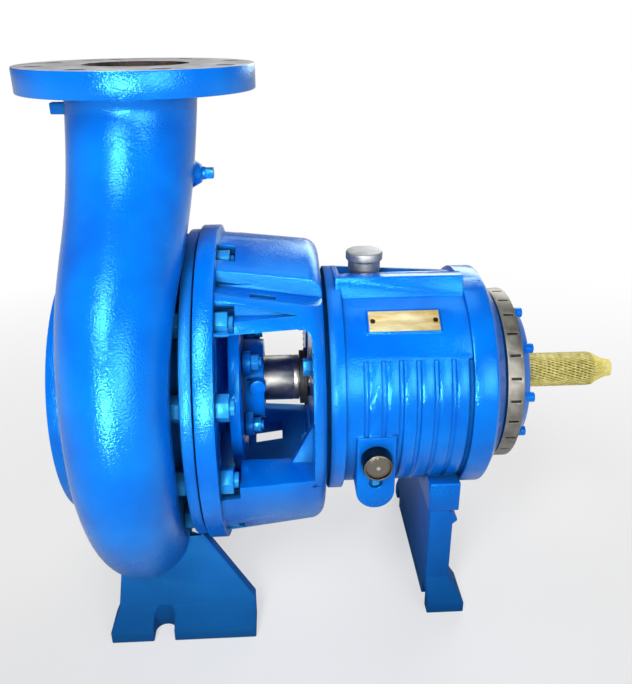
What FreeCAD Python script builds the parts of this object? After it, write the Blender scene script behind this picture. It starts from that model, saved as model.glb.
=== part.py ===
import FreeCAD, Part
import Sketcher
import math
import os
import re

# Single-stage end-suction process pump with a bare shaft end, 6 x 4 - 10 size.
# Origin: on the floor under the crossing of the discharge and shaft centre lines.
# X runs along the shaft towards the drive end, Z is up, lengths in millimetres.
# Pieces that turn about the shaft are drawn about their own X axis and lifted to
# shaft height by their placement, so "radius" below is always from the shaft axis.

os.makedirs("parts", exist_ok=True)
doc = FreeCAD.newDocument("ProcessPump")

# Driving dimensions

SIZES = [
    # Frame of the whole pump
    ("shaft_height", 254),
    ("discharge_height", 342.9),
    ("suction_reach", 95),
    ("shaft_reach", 495.3),
    # Clearances between pieces
    ("seat_gap", 0.2),
    ("slide_fit", 0.02),
    ("running_gap", 0.3),
    ("bolt_clearance", 0.5),
    # Casing: nozzles
    ("suction_flange_radius", 139.7),
    ("suction_flange_thick", 25.4),
    ("suction_bore_radius", 76.2),
    ("suction_circle_radius", 120.65),
    ("suction_hole_radius", 11.1),
    ("suction_neck_radius", 94),
    ("discharge_flange_radius", 114.3),
    ("discharge_flange_thick", 23.8),
    ("discharge_bore_radius", 50.8),
    ("discharge_bore_depth", 27),
    ("discharge_circle_radius", 95.25),
    ("discharge_hole_radius", 9.5),
    ("nozzle_hole_count", 8),
    # Casing: scroll and neck
    ("scroll_plane", 18),
    ("scroll_start_angle", 75),
    ("scroll_inner_radius", 133),
    ("scroll_start_radius", 14),
    ("scroll_end_radius", 48),
    ("neck_end_radius", 63.8),
    ("neck_end_shift", 6),
    ("neck_set", 4),
    ("passage_inner_start", 143),
    ("passage_inner_end", 148),
    ("passage_start_radius", 6),
    ("passage_end_radius", 35),
    ("passage_neck_radius", 49.5),
    ("chamber_ring_radius", 159),
    ("front_wall", 11),
    ("core_radius", 168),
    ("core_back", 24),
    # Casing: joint to the cover and the adapter
    ("casing_flange_front", 36.5),
    ("casing_flange_back", 48),
    ("casing_flange_radius", 172.5),
    ("bolt_channel_radius", 141.5),
    ("bolt_channel_reach", 174),
    ("pilot_radius", 133),
    ("cover_seat", 38),
    ("cover_flange_radius", 145.6),
    ("gasket_thick", 1.5),
    ("casing_bolt_circle", 155.5),
    ("casing_bolt_count", 12),
    ("casing_bolt_turn", 13.5),
    ("casing_bolt_radius", 8),
    ("casing_bolt_flats", 24),
    ("casing_head_height", 11.5),
    ("casing_nut_height", 13),
    ("casing_stud_out", 5),
    # Casing: small bosses
    ("gauge_height", 237),
    ("gauge_boss_radius", 9),
    ("gauge_boss_root_radius", 17),
    ("gauge_boss_root", 42),
    ("gauge_boss_reach", 56),
    ("gauge_plug_radius", 6.5),
    ("gauge_plug_square", 10),
    ("gauge_plug_reach", 68),
    ("gauge_plug_collar", 4),
    ("vent_pad_height", 302.5),
    ("vent_pad_side", 11),
    ("vent_pad_reach", 87),
    # Casing: feet
    ("foot_front", 65),
    ("foot_back", 95.4),
    ("foot_pad_reach", 143),
    ("foot_pad_thick", 14),
    ("foot_crease_reach", 120),
    ("foot_crease_height", 30),
    ("foot_wall_top_reach", 96),
    ("foot_wall_top", 130),
    ("foot_wall", 14),
    ("foot_web_front", 22),
    ("foot_web_thick", 13),
    ("foot_waist_front", 53),
    ("foot_waist_height", 75),
    ("foot_knee_height", 35),
    ("foot_slot_place", 6.8),
    ("foot_slot_radius", 11.35),
    ("foot_slot_end", 129.3),
    # Impeller
    ("impeller_radius", 127),
    ("impeller_exit_front", 23.6),
    ("impeller_shroud_front", 9),
    ("impeller_shroud_back", 15.5),
    ("impeller_eye_radius", 74),
    ("impeller_eye_front", 43.2),
    ("impeller_front_gap", 0.9),
    ("impeller_nose", 34),
    ("impeller_nose_radius", 14),
    ("impeller_hub_radius", 29),
    ("vane_count", 5),
    ("vane_thick", 6),
    ("vane_centre", 62),
    ("vane_arc", 84),
    ("vane_root_angle", 157),
    ("vane_tip_angle", 55),
    # Cover (stuffing box cover)
    ("cover_front", 17.8),
    ("cover_wall", 15),
    ("cover_barrel_radius", 62),
    ("cover_throat_radius", 30),
    ("chamber_bore_radius", 42),
    ("chamber_floor", 30),
    ("cover_end_front", 77),
    ("cover_end_back", 88.5),
    ("cover_end_radius", 102),
    # Gland and mechanical seal
    ("gland_gasket_thick", 1),
    ("gland_end", 112),
    ("gland_radius", 45.5),
    ("gland_ear_circle", 56),
    ("gland_ear_radius", 12),
    ("gland_ear_thick", 9),
    ("gland_stud_count", 4),
    ("gland_turn", 45),
    ("gland_stud_depth", 10),
    ("gland_stud_out", 3),
    ("gland_stud_radius", 5),
    ("gland_nut_flats", 16),
    ("gland_nut_height", 8.5),
    ("gland_bore_radius", 28),
    ("gland_port_radius", 9),
    ("gland_port_height", 12),
    ("gland_port_reach", 50),
    ("seat_ring_radius", 40),
    ("seat_ring_bore", 27.5),
    ("seat_ring_front", 83),
    ("seat_ring_back", 96),
    ("seal_face_gap", 0.8),
    ("rotary_front", 52),
    ("rotary_radius", 38),
    # Shaft and sleeve
    ("nose_thread_radius", 11),
    ("sleeve_bore_radius", 20),
    ("sleeve_radius", 25.9),
    ("sleeve_back", 151.5),
    ("sleeve_ring_place", 145),
    ("sleeve_groove", 0.8),
    ("shaft_front_journal", 23),
    ("bearing_bore_radius", 25),
    ("shaft_waist_radius", 31),
    ("shaft_rear_journal", 22.5),
    ("coupling_radius", 14.29),
    ("coupling_start", 404),
    ("key_width", 6.35),
    ("key_height", 6.35),
    ("key_length", 70),
    ("shaft_end_chamfer", 1.5),
    # Adapter between casing and bearing housing
    ("adapter_front", 50),
    ("adapter_flange_back", 69),
    ("adapter_flange_radius", 177),
    ("adapter_bore_radius", 134),
    ("adapter_body_front_radius", 170),
    ("adapter_body_back_radius", 158.5),
    ("adapter_wall", 11),
    ("adapter_end", 175),
    ("adapter_end_wall", 13),
    ("adapter_corner", 16),
    ("adapter_boss_end", 180.4),
    ("adapter_boss_radius", 118),
    ("nut_pocket_radius", 17),
    ("nut_pocket_end", 88),
    ("nut_pocket_mouth", 15),
    ("window_top", 109.5),
    ("window_corner", 9),
    ("window_bottom", 38),
    ("far_window_bottom", 104),
    ("ledge_root", 70),
    ("ledge_front_height", 140),
    ("ledge_back_height", 124),
    ("ledge_lip", 4),
    ("ledge_web", 12),
    ("ledge_web_top", 143),
    ("ledge_web_bottom", 112),
    ("ledge_web_edge", 97),
    ("hollow_bottom", 119.5),
    ("hollow_back", 150),
    ("hollow_floor", 103),
    ("slot_front", 103),
    ("slot_back", 128),
    ("slot_inner", 82),
    ("slot_outer", 92),
    ("spill_front", 95),
    ("spill_back", 130),
    ("spill_inner", 78),
    ("spill_outer", 98),
    ("shelf_depth", 46),
    ("shelf_thick", 9),
    ("gusset_width", 24),
    ("gusset_height", 42),
    ("frame_screw_circle", 106),
    ("frame_screw_count", 8),
    ("frame_screw_turn", 13),
    ("frame_screw_radius", 5),
    ("frame_screw_flats", 16),
    ("frame_screw_head", 8),
    ("frame_screw_grip", 14),
    # Bearing housing
    ("housing_flange_back", 196.2),
    ("housing_flange_radius", 128),
    ("housing_spigot_radius", 64),
    ("housing_spigot_length", 16.4),
    ("housing_body_radius", 120.5),
    ("housing_body_back", 326),
    ("bell_radius", 125.3),
    ("bell_back", 350),
    ("housing_end", 366),
    ("housing_end_radius", 100),
    ("housing_wall", 12),
    ("carrier_bore_front", 312),
    ("rib_first", 215),
    ("rib_pitch", 17.9),
    ("rib_count", 7),
    ("rib_gap", 4.5),
    ("rib_depth", 2.2),
    ("rib_top_angle", 33),
    ("crest_half_width", 38),
    ("crest_foot_half_width", 45),
    ("crest_height", 133),
    ("trough_half_width", 23),
    ("trough_floor", 122),
    ("crest_foot_height", 110.5),
    ("crest_root", 1),
    ("glass_place", 228),
    ("glass_boss_half_width", 20.5),
    ("glass_boss_top", 12),
    ("glass_boss_bottom", 99.5),
    ("glass_boss_face", 121),
    ("glass_boss_depth", 60),
    ("glass_below_shaft", 38.5),
    ("glass_radius", 15.5),
    ("glass_reach", 17),
    ("glass_seat_depth", 4),
    ("glass_rim", 2.5),
    ("drain_below_shaft", 67),
    ("drain_plug_radius", 7),
    ("drain_plug_square", 7),
    ("drain_plug_depth", 14),
    ("drain_recess", 4),
    ("lug_front", 291),
    ("lug_back", 325),
    ("lug_half_width", 103),
    ("lug_bottom", 121),
    ("lug_top", 85),
    # Breather
    ("breather_place", 225),
    ("breather_neck_radius", 15),
    ("breather_neck_top", 127),
    ("breather_body_radius", 17.5),
    ("breather_body_top", 141),
    ("breather_cap_radius", 20),
    ("breather_cap_top", 151),
    ("breather_bevel", 2.5),
    ("breather_spigot_radius", 9),
    ("breather_spigot_length", 12),
    # Nameplate
    ("plate_length", 73),
    ("plate_width", 24),
    ("plate_thick", 0.8),
    ("plate_place", 259),
    ("plate_angle", 53),
    ("plate_pad_lift", 0.8),
    ("plate_pin_radius", 1.6),
    ("plate_pin_place", 32.5),
    ("plate_margin", 2),
    # Bearings and what holds them
    ("bearing_outer_radius", 55),
    ("radial_bearing_front", 192),
    ("radial_bearing_width", 27),
    ("radial_ball_radius", 9.5),
    ("radial_ball_count", 8),
    ("thrust_bearing_front", 322),
    ("thrust_bearing_width", 44.4),
    ("thrust_ball_radius", 7.9),
    ("thrust_ball_count", 12),
    ("thrust_row_half_pitch", 10.5),
    ("radial_cage_half_width", 11),
    ("thrust_cage_half_width", 9.5),
    ("ball_gap", 0.1),
    ("race_inner_radius", 33),
    ("race_outer_radius", 46.5),
    ("cage_thick", 2),
    ("lockwasher_thick", 2),
    ("lockwasher_radius", 36),
    ("locknut_radius", 35),
    ("locknut_width", 11),
    ("locknut_slot", 6),
    ("locknut_slot_count", 4),
    ("inboard_seal_front", 164),
    ("inboard_seal_back", 176),
    ("inboard_seal_radius", 40),
    ("seal_lip_gap", 0.1),
    ("deflector_front", 152.3),
    ("deflector_back", 160.5),
    ("deflector_radius", 34),
    ("deflector_lip", 3),
    # Bearing carrier
    ("carrier_body_radius", 66),
    ("carrier_ring_front", 368.7),
    ("carrier_ring_back", 386.1),
    ("carrier_ring_radius", 98),
    ("carrier_cone_radius", 91),
    ("carrier_face_radius", 78),
    ("carrier_face", 399),
    ("carrier_notch_count", 25),
    ("carrier_notch_turn", 0.3),
    ("carrier_notch_width", 2.7),
    ("carrier_notch_front", 372.4),
    ("carrier_notch_back", 383),
    ("carrier_notch_depth", 3),
    ("carrier_lug_count", 9),
    ("carrier_lug_turn", 15.6),
    ("carrier_lug_circle", 77),
    ("carrier_lug_radius", 5.5),
    ("carrier_lug_reach", 4.5),
    ("carrier_seal_bore", 36),
    ("carrier_seal_width", 11),
    ("carrier_step", 4),
    ("carrier_thread_gap", 0.08),
    ("oring_place", 356),
    ("oring_thick", 1.7),
    ("bearing_float", 1.5),
    ("retaining_ring_thick", 2),
    ("retaining_ring_bite", 2),
    ("retaining_ring_gap", 14),
    # Rear foot
    ("rear_foot_front", 293),
    ("rear_foot_back", 336),
    ("rear_foot_half_width", 119),
    ("rear_pad_inner", 67),
    ("rear_pad_thick", 13),
    ("rear_leg_half_width", 101),
    ("rear_leg_back", 320),
    ("rear_knee_height", 38),
    ("rear_web_thick", 10),
    ("rear_slot_place", 94.5),
    ("rear_slot_radius", 9),
    ("rear_slot_end", 322),
    ("rear_saddle_height", 20),
    ("rear_saddle_lip", 4),
    ("rear_notch_front", 313.5),
    ("rear_notch_depth", 13),
    ("rear_slot_relief", 8),
    ("rear_opening_half_width", 60),
    ("foot_bolt_radius", 6),
    ("foot_bolt_flats", 16),
    ("foot_bolt_head", 8),
    ("foot_bolt_place", 85),
    ("foot_bolt_along", 306),
    ("foot_bolt_depth", 22),
    # Net sleeve on the bare shaft end
    ("net_bore_radius", 18.6),
    ("net_radius", 20),
    ("net_start", 412),
    ("net_tail_reach", 520),
    ("net_tail_radius", 10),
]

sheet = doc.addObject("Spreadsheet::Sheet", "Sizes")
for row, (alias, value) in enumerate(SIZES, start=1):
    sheet.set(f"A{row}", alias)
    sheet.set(f"B{row}", str(value))
    sheet.setAlias(f"B{row}", alias)
doc.recompute()

NAMES = {alias for alias, value in SIZES}


def bound(text):
    """Turn a sum of size names into an expression that reads the sheet."""
    return re.sub(r"[a-z]\w*", lambda word: f"Sizes.{word[0]}" if word[0] in NAMES else word[0], text)


def size(alias):
    return float(sheet.get(alias))


# Ways of drawing and cutting that every piece shares

def new_body(name, on_shaft=True):
    body = doc.addObject("PartDesign::Body", name)
    body.Label = name
    body.AllowCompound = True
    if on_shaft:
        body.setExpression("Placement.Base.z", bound("shaft_height"))
    return body


def origin_of(body, role):
    return [item for item in body.Origin.OriginFeatures if item.Role == role][0]


def new_sketch(body, role, lift="0", spin="0"):
    """Sketch on an origin plane, moved along its normal by lift and spun about it."""
    sketch = body.newObject("Sketcher::SketchObject", f"{body.Name}Sketch")
    sketch.AttachmentSupport = [(origin_of(body, role), "")]
    sketch.MapMode = "FlatFace"
    sketch.setExpression("AttachmentOffset.Base.z", bound(lift))
    sketch.setExpression("AttachmentOffset.Rotation.Angle", bound(spin))
    return sketch


def fix(sketch, kind, places, text, start=1.0):
    number = sketch.addConstraint(Sketcher.Constraint(kind, *places, start))
    sketch.setExpression(f"Constraints[{number}]", bound(text))


def polygon(sketch, corners):
    """Closed outline whose corners are pairs of size expressions."""
    start = sketch.GeometryCount
    count = len(corners)
    for corner in range(count):
        following = (corner + 1) % count
        near = FreeCAD.Vector(corner, corner * corner, 0)
        far = FreeCAD.Vector(following, following * following, 0)
        sketch.addGeometry(Part.LineSegment(near, far), False)
    for corner in range(count):
        following = (corner + 1) % count
        sketch.addConstraint(Sketcher.Constraint("Coincident", start + corner, 2, start + following, 1))
    for corner, (across, up) in enumerate(corners):
        fix(sketch, "DistanceX", (start + corner, 1), across)
        fix(sketch, "DistanceY", (start + corner, 1), up)


def rectangle(sketch, left, right, low, high):
    polygon(sketch, [(left, low), (right, low), (right, high), (left, high)])


def circle(sketch, across, up, radius):
    shape = Part.Circle(FreeCAD.Vector(1, 1, 0), FreeCAD.Vector(0, 0, 1), 1)
    number = sketch.addGeometry(shape, False)
    fix(sketch, "DistanceX", (number, 3), across)
    fix(sketch, "DistanceY", (number, 3), up)
    fix(sketch, "Radius", (number,), radius)


def hexagon(sketch, across, up, flats):
    """Bolt head outline with two flats square to the line that runs outwards."""
    corners = []
    for corner in range(6):
        angle = 60 * corner + 30
        corners.append(
            (f"{across} + ({flats}) / sqrt(3) * cos({angle})", f"{up} + ({flats}) / sqrt(3) * sin({angle})")
        )
    polygon(sketch, corners)


def feature(body, kind, sketch):
    item = body.newObject(f"PartDesign::{kind}", f"{body.Name}{kind}")
    item.Profile = sketch
    return item


def turned(body, corners):
    """Solid of revolution about the body's X axis: corners are (along, radius)."""
    sketch = new_sketch(body, "XZ_Plane")
    polygon(sketch, corners)
    item = feature(body, "Revolution", sketch)
    item.ReferenceAxis = (sketch, ["H_Axis"])
    item.Angle = 360
    return item


def checked_cut(body, item):
    """A cut that removes nothing is a fault in the sizes."""
    before = item.BaseFeature.Shape.Volume if item.BaseFeature else 0
    doc.recompute()
    if item.Shape.Volume >= before - 0.001:
        raise RuntimeError(f"{body.Name}: {item.Name} cuts nothing")
    return item


def grooved(body, corners):
    """The same, taken away."""
    doc.recompute()
    sketch = new_sketch(body, "XZ_Plane")
    polygon(sketch, corners)
    item = feature(body, "Groove", sketch)
    item.ReferenceAxis = (sketch, ["H_Axis"])
    item.Angle = 360
    return checked_cut(body, item)


def raised(body, sketch, length, backwards=False):
    item = feature(body, "Pad", sketch)
    item.setExpression("Length", bound(length))
    item.Reversed = backwards
    return item


def sunk(body, sketch, length, backwards=False):
    doc.recompute()
    item = feature(body, "Pocket", sketch)
    item.setExpression("Length", bound(length))
    item.Reversed = backwards
    return checked_cut(body, item)


def ringed(body, items, count):
    """Repeat features evenly about the shaft axis."""
    doc.recompute()
    pattern = body.newObject("PartDesign::PolarPattern", f"{body.Name}Ring")
    pattern.Originals = items
    pattern.Axis = (origin_of(body, "X_Axis"), [""])
    pattern.Angle = 360
    pattern.setExpression("Occurrences", bound(count))
    body.Tip = pattern
    return pattern


def ring_body(name, front, back, inner, outer):
    """Plain ring about the shaft axis."""
    body = new_body(name)
    turned(body, [(front, inner), (back, inner), (back, outer), (front, outer)])
    return body


# Casing: one casting with the scroll, both nozzles, the joint flange and two feet

casing = new_body("casing")


def foot_sides():
    """The two feet are alike: signs for the near side (-Y) and the far side."""
    return ("-", "")


def build_feet():
    """Side outline first, then the slope of the walls, the hollow and the slots."""
    floor = "-shaft_height"
    outline = new_sketch(casing, "XZ_Plane")
    polygon(outline, [
        ("-foot_front", floor),
        ("foot_back", floor),
        ("foot_back", f"{floor} + foot_knee_height"),
        ("core_back + 6", "-foot_wall_top"),
        ("-foot_waist_front", "-foot_wall_top"),
        ("-foot_waist_front", f"{floor} + foot_waist_height"),
        ("-foot_waist_front - 5", f"{floor} + foot_crease_height"),
        ("-foot_front", f"{floor} + foot_pad_thick"),
    ])
    block = raised(casing, outline, "foot_pad_reach * 2")
    block.Midplane = True
    for side in foot_sides():
        slope = new_sketch(casing, "YZ_Plane", "-foot_front")
        polygon(slope, [
            (f"{side}(foot_pad_reach + 1)", f"{floor} + foot_pad_thick"),
            (f"{side}foot_pad_reach", f"{floor} + foot_pad_thick"),
            (f"{side}foot_crease_reach", f"{floor} + foot_crease_height"),
            (f"{side}foot_wall_top_reach", "1 - foot_wall_top"),
            (f"{side}(foot_pad_reach + 1)", "1 - foot_wall_top"),
        ])
        sunk(casing, slope, "foot_front + foot_back", backwards=True)
    hollows = (("-foot_front", "foot_front - foot_web_front"),
               ("foot_web_thick - foot_web_front", "foot_back + foot_web_front - foot_web_thick"))
    for start, length in hollows:
        hollow = new_sketch(casing, "YZ_Plane", start)
        polygon(hollow, [
            ("foot_wall - foot_crease_reach", floor),
            ("foot_crease_reach - foot_wall", floor),
            ("foot_crease_reach - foot_wall", f"{floor} + foot_crease_height"),
            ("foot_wall_top_reach - foot_wall", "-foot_wall_top"),
            ("foot_wall - foot_wall_top_reach", "-foot_wall_top"),
            ("foot_wall - foot_crease_reach", f"{floor} + foot_crease_height"),
        ])
        sunk(casing, hollow, length, backwards=True)
    for side in foot_sides():
        slot = new_sketch(casing, "XY_Plane", floor)
        circle(slot, "-foot_slot_place", f"{side}foot_slot_end", "foot_slot_radius")
        sunk(casing, slot, "foot_crease_height", backwards=True)
        mouth = new_sketch(casing, "XY_Plane", floor)
        rectangle(mouth, "-foot_slot_place - foot_slot_radius", "-foot_slot_place + foot_slot_radius",
                  f"{side}foot_slot_end", f"{side}(foot_pad_reach + 1)")
        sunk(casing, mouth, "foot_crease_height", backwards=True)


SCROLL_STATIONS = 11
NECK_STATIONS = 8
NECK_TILT = "(2 * atan((scroll_inner_radius + scroll_end_radius) / discharge_height))"
NECK_BEND = f"(discharge_height / 2 / sin({NECK_TILT}))"


def section(along, out, up, tilt, radius):
    """Circle of a duct: its centre, the turn of its plane about X, and its radius."""
    sketch = casing.newObject("Sketcher::SketchObject", "DuctSection")
    sketch.AttachmentSupport = [(origin_of(casing, "XZ_Plane"), "")]
    sketch.MapMode = "FlatFace"
    sketch.AttachmentOffset = FreeCAD.Placement(FreeCAD.Vector(), FreeCAD.Rotation(FreeCAD.Vector(1, 0, 0), 1))
    sketch.setExpression("AttachmentOffset.Rotation.Angle", bound(tilt))
    sketch.setExpression("AttachmentOffset.Base.x", bound(along))
    sketch.setExpression("AttachmentOffset.Base.y", bound(up))
    sketch.setExpression("AttachmentOffset.Base.z", bound(f"-({out})"))
    circle(sketch, "0", "0", radius)
    return sketch


def duct(kind, inner_start, inner_end, start_radius, end_radius, neck_radius, end_shift):
    """Loft through the scroll's growing circles and on up the swan neck."""
    sections = []
    for station in range(SCROLL_STATIONS):
        share = station / (SCROLL_STATIONS - 1)
        radius = f"({start_radius} + ({end_radius} - {start_radius}) * {share})"
        centre = f"({inner_start} + ({inner_end} - {inner_start}) * {share} + {radius})"
        angle = f"(scroll_start_angle + (360 - scroll_start_angle) * {share})"
        sections.append(section("-scroll_plane", f"-{centre} * cos({angle})", f"{centre} * sin({angle})",
                                f"90 - {angle}", radius))
    for station in range(1, NECK_STATIONS + 1):
        share = station / NECK_STATIONS
        turn = f"({NECK_TILT} * {2 * min(share, 1 - share)})"
        if share <= 0.5:
            out = f"-(scroll_inner_radius + scroll_end_radius) + {NECK_BEND} * (1 - cos({turn}))"
            up = f"{NECK_BEND} * sin({turn})"
        else:
            out = f"-{NECK_BEND} * (1 - cos({turn}))"
            up = f"discharge_height - {NECK_BEND} * sin({turn})"
        if station == NECK_STATIONS:
            up = "discharge_height - discharge_flange_thick / 2"
        growth = share * share * (3 - 2 * share)
        radius = f"({end_radius} + ({neck_radius} - {end_radius}) * {growth})"
        along = f"-scroll_plane + (scroll_plane - {end_shift}) * {growth} - neck_set * {4 * share * (1 - share)}"
        sections.append(section(along, out, up, f"90 deg - {turn}", radius))
    loft = feature(casing, kind, sections[0])
    loft.Sections = [(item, [""]) for item in sections[1:]]
    return loft


def build_casing():
    build_feet()
    core = new_sketch(casing, "XZ_Plane")
    polygon(core, [
        ("-suction_reach", "0"),
        ("-suction_reach", "suction_flange_radius"),
        ("suction_flange_thick - suction_reach", "suction_flange_radius"),
        ("suction_flange_thick - suction_reach", "suction_neck_radius"),
        ("-impeller_eye_front - front_wall", "suction_neck_radius"),
        ("-impeller_exit_front - front_wall", "pilot_radius"),
        ("-impeller_exit_front - front_wall", "core_radius"),
        ("casing_flange_front", "core_radius"),
        ("casing_flange_front", "casing_flange_radius"),
        ("casing_flange_back", "casing_flange_radius"),
        ("casing_flange_back", "0"),
    ])
    body = feature(casing, "Revolution", core)
    body.ReferenceAxis = (core, ["H_Axis"])
    body.Angle = 360
    duct("AdditiveLoft", "scroll_inner_radius", "scroll_inner_radius", "scroll_start_radius",
         "scroll_end_radius", "neck_end_radius", "neck_end_shift")
    flange = new_sketch(casing, "XY_Plane", "discharge_height - discharge_flange_thick")
    circle(flange, "0", "0", "discharge_flange_radius")
    raised(casing, flange, "discharge_flange_thick")
    root = new_sketch(casing, "YZ_Plane", "gauge_boss_root")
    circle(root, "0", "gauge_height", "gauge_boss_root_radius")
    tip = new_sketch(casing, "YZ_Plane", "gauge_boss_reach")
    circle(tip, "0", "gauge_height", "gauge_boss_radius")
    boss = feature(casing, "AdditiveLoft", root)
    boss.Sections = [(tip, [""])]
    pad = new_sketch(casing, "YZ_Plane", "-vent_pad_reach")
    rectangle(pad, "-vent_pad_side / 2", "vent_pad_side / 2",
              "vent_pad_height - vent_pad_side / 2", "vent_pad_height + vent_pad_side / 2")
    raised(casing, pad, "vent_pad_reach - neck_end_shift")
    grooved(casing, [
        ("-suction_reach - 1", "0"),
        ("-suction_reach - 1", "suction_bore_radius"),
        ("-impeller_eye_front - impeller_front_gap", "suction_bore_radius"),
        ("-impeller_exit_front - impeller_front_gap", "impeller_radius"),
        ("-impeller_exit_front - impeller_front_gap", "chamber_ring_radius"),
        ("impeller_shroud_front", "chamber_ring_radius"),
        ("impeller_shroud_front", "pilot_radius + seat_gap"),
        ("cover_seat", "pilot_radius + seat_gap"),
        ("cover_seat", "cover_flange_radius + seat_gap"),
        ("casing_flange_back + 1", "cover_flange_radius + seat_gap"),
        ("casing_flange_back + 1", "0"),
    ])
    duct("SubtractiveLoft", "passage_inner_start", "passage_inner_end", "passage_start_radius",
         "passage_end_radius", "passage_neck_radius", "neck_end_shift / 2")
    grooved(casing, [
        ("core_back", "bolt_channel_radius"),
        ("casing_flange_front", "bolt_channel_radius"),
        ("casing_flange_front", "bolt_channel_reach"),
        ("core_back", "bolt_channel_reach"),
    ])
    bore = new_sketch(casing, "XY_Plane", "discharge_height")
    circle(bore, "0", "0", "discharge_bore_radius")
    sunk(casing, bore, "discharge_bore_depth")
    half_pitch = "(180 / nozzle_hole_count)"
    first = new_sketch(casing, "XY_Plane", "discharge_height")
    circle(first, f"discharge_circle_radius * cos({half_pitch})",
           f"discharge_circle_radius * sin({half_pitch})", "discharge_hole_radius")
    holes = ringed(casing, [sunk(casing, first, "discharge_flange_thick")], "nozzle_hole_count")
    holes.Axis = (origin_of(casing, "Z_Axis"), [""])
    first = new_sketch(casing, "YZ_Plane", "-suction_reach", half_pitch)
    circle(first, "suction_circle_radius", "0", "suction_hole_radius")
    ringed(casing, [sunk(casing, first, "suction_flange_thick", backwards=True)], "nozzle_hole_count")
    first = new_sketch(casing, "YZ_Plane", "casing_flange_back", "casing_bolt_turn")
    circle(first, "casing_bolt_circle", "0", "casing_bolt_radius + bolt_clearance")
    ringed(casing, [sunk(casing, first, "casing_flange_back - casing_flange_front")], "casing_bolt_count")
    doc.recompute()


build_casing()


# Shapes that come back on several pieces

def pattern_start(body, lift, spin, across, radius):
    """Sketch square to the shaft with one circle, set out from the axis and spun round it."""
    doc.recompute()
    sketch = new_sketch(body, "YZ_Plane", lift, spin)
    circle(sketch, across, "0", radius)
    return sketch


def hole_ring(body, face, depth, spin, across, radius, count, backwards=False):
    """Ring of holes sunk from a face: towards -X, or towards +X when backwards is set."""
    first = sunk(body, pattern_start(body, face, spin, across, radius), depth, backwards)
    return ringed(body, [first], count)


def hex_bolts(name, head_front, head_height, flats, shank_end, shank_radius, across, spin, count):
    """Hex-head bolts round the shaft, heads towards -X."""
    body = new_body(name)
    head = new_sketch(body, "YZ_Plane", head_front, spin)
    hexagon(head, across, "0", flats)
    top = raised(body, head, head_height)
    seat = f"{head_front} + {head_height}"
    shank = raised(body, pattern_start(body, seat, spin, across, shank_radius), f"{shank_end} - ({seat})")
    ringed(body, [top, shank], count)
    return body


def hex_nuts(name, front, height, flats, bore_radius, across, spin, count):
    """Hex nuts round the shaft."""
    body = new_body(name)
    sketch = new_sketch(body, "YZ_Plane", front, spin)
    hexagon(sketch, across, "0", flats)
    circle(sketch, across, "0", bore_radius)
    ringed(body, [raised(body, sketch, height)], count)
    return body


def edges_where(item, test):
    """Names of a feature's edges that pass a test on their shape."""
    return [f"Edge{number}" for number, edge in enumerate(item.Shape.Edges, start=1) if test(edge)]


def rounded(body, item, test, radius):
    doc.recompute()
    names = edges_where(item, test)
    if not names:
        raise RuntimeError(f"{body.Name}: no edge to round")
    fillet = body.newObject("PartDesign::Fillet", f"{body.Name}Fillet")
    fillet.Base = (item, names)
    fillet.setExpression("Radius", bound(radius))
    return fillet


# Stuffing box cover and its gasket, clamped between casing and adapter

COVER_SEAT = "cover_seat + gasket_thick"
ring_body("casing_gasket", "cover_seat", COVER_SEAT, "pilot_radius + seat_gap * 2", "cover_flange_radius")

rear_cover = new_body("rear_cover")
turned(rear_cover, [
    ("cover_front", "cover_throat_radius"),
    ("cover_front", "pilot_radius"),
    (COVER_SEAT, "pilot_radius"),
    (COVER_SEAT, "cover_flange_radius"),
    ("adapter_front", "cover_flange_radius"),
    ("adapter_front", "pilot_radius - cover_wall"),
    ("cover_front + cover_wall", "pilot_radius - cover_wall * 2"),
    ("cover_front + cover_wall", "cover_barrel_radius"),
    ("cover_end_front", "cover_barrel_radius"),
    ("cover_end_front", "cover_end_radius"),
    ("cover_end_back", "cover_end_radius"),
    ("cover_end_back", "chamber_bore_radius"),
    ("chamber_floor", "chamber_bore_radius"),
    ("chamber_floor", "cover_throat_radius"),
])
hole_ring(rear_cover, "cover_end_back", "gland_stud_depth", "gland_turn", "gland_ear_circle",
          "gland_stud_radius + slide_fit", "gland_stud_count")

ring_body("throat_bushing", "cover_front", "chamber_floor", "sleeve_radius + running_gap",
          "cover_throat_radius - slide_fit")

# Gland plate with its gasket, studs and nuts

GLAND_FRONT = "cover_end_back + gland_gasket_thick"
ring_body("gland_gasket", "cover_end_back", GLAND_FRONT, "seat_ring_radius + seat_gap", "gland_radius")

gland = new_body("gland")
turned(gland, [
    (GLAND_FRONT, "seat_ring_radius + slide_fit"),
    (GLAND_FRONT, "gland_radius"),
    ("gland_end", "gland_radius"),
    ("gland_end", "gland_bore_radius"),
    ("seat_ring_back", "gland_bore_radius"),
    ("seat_ring_back", "seat_ring_radius + slide_fit"),
])
ear = raised(gland, pattern_start(gland, GLAND_FRONT, "gland_turn", "gland_ear_circle", "gland_ear_radius"),
             "gland_ear_thick")
web_sketch = new_sketch(gland, "YZ_Plane", GLAND_FRONT, "gland_turn")
rectangle(web_sketch, "seat_ring_radius + seat_gap * 5", "gland_ear_circle", "-gland_ear_radius", "gland_ear_radius")
ringed(gland, [raised(gland, web_sketch, "gland_ear_thick"), ear], "gland_stud_count")
hole_ring(gland, f"{GLAND_FRONT} + gland_ear_thick", "gland_ear_thick", "gland_turn", "gland_ear_circle",
          "gland_stud_radius + bolt_clearance", "gland_stud_count")
port_sketch = new_sketch(gland, "XZ_Plane", "gland_bore_radius + gland_port_radius")
circle(port_sketch, f"({GLAND_FRONT} + gland_ear_thick + gland_end) / 2", "gland_port_height", "gland_port_radius")
raised(gland, port_sketch, "gland_port_reach - gland_bore_radius - gland_port_radius")

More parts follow.
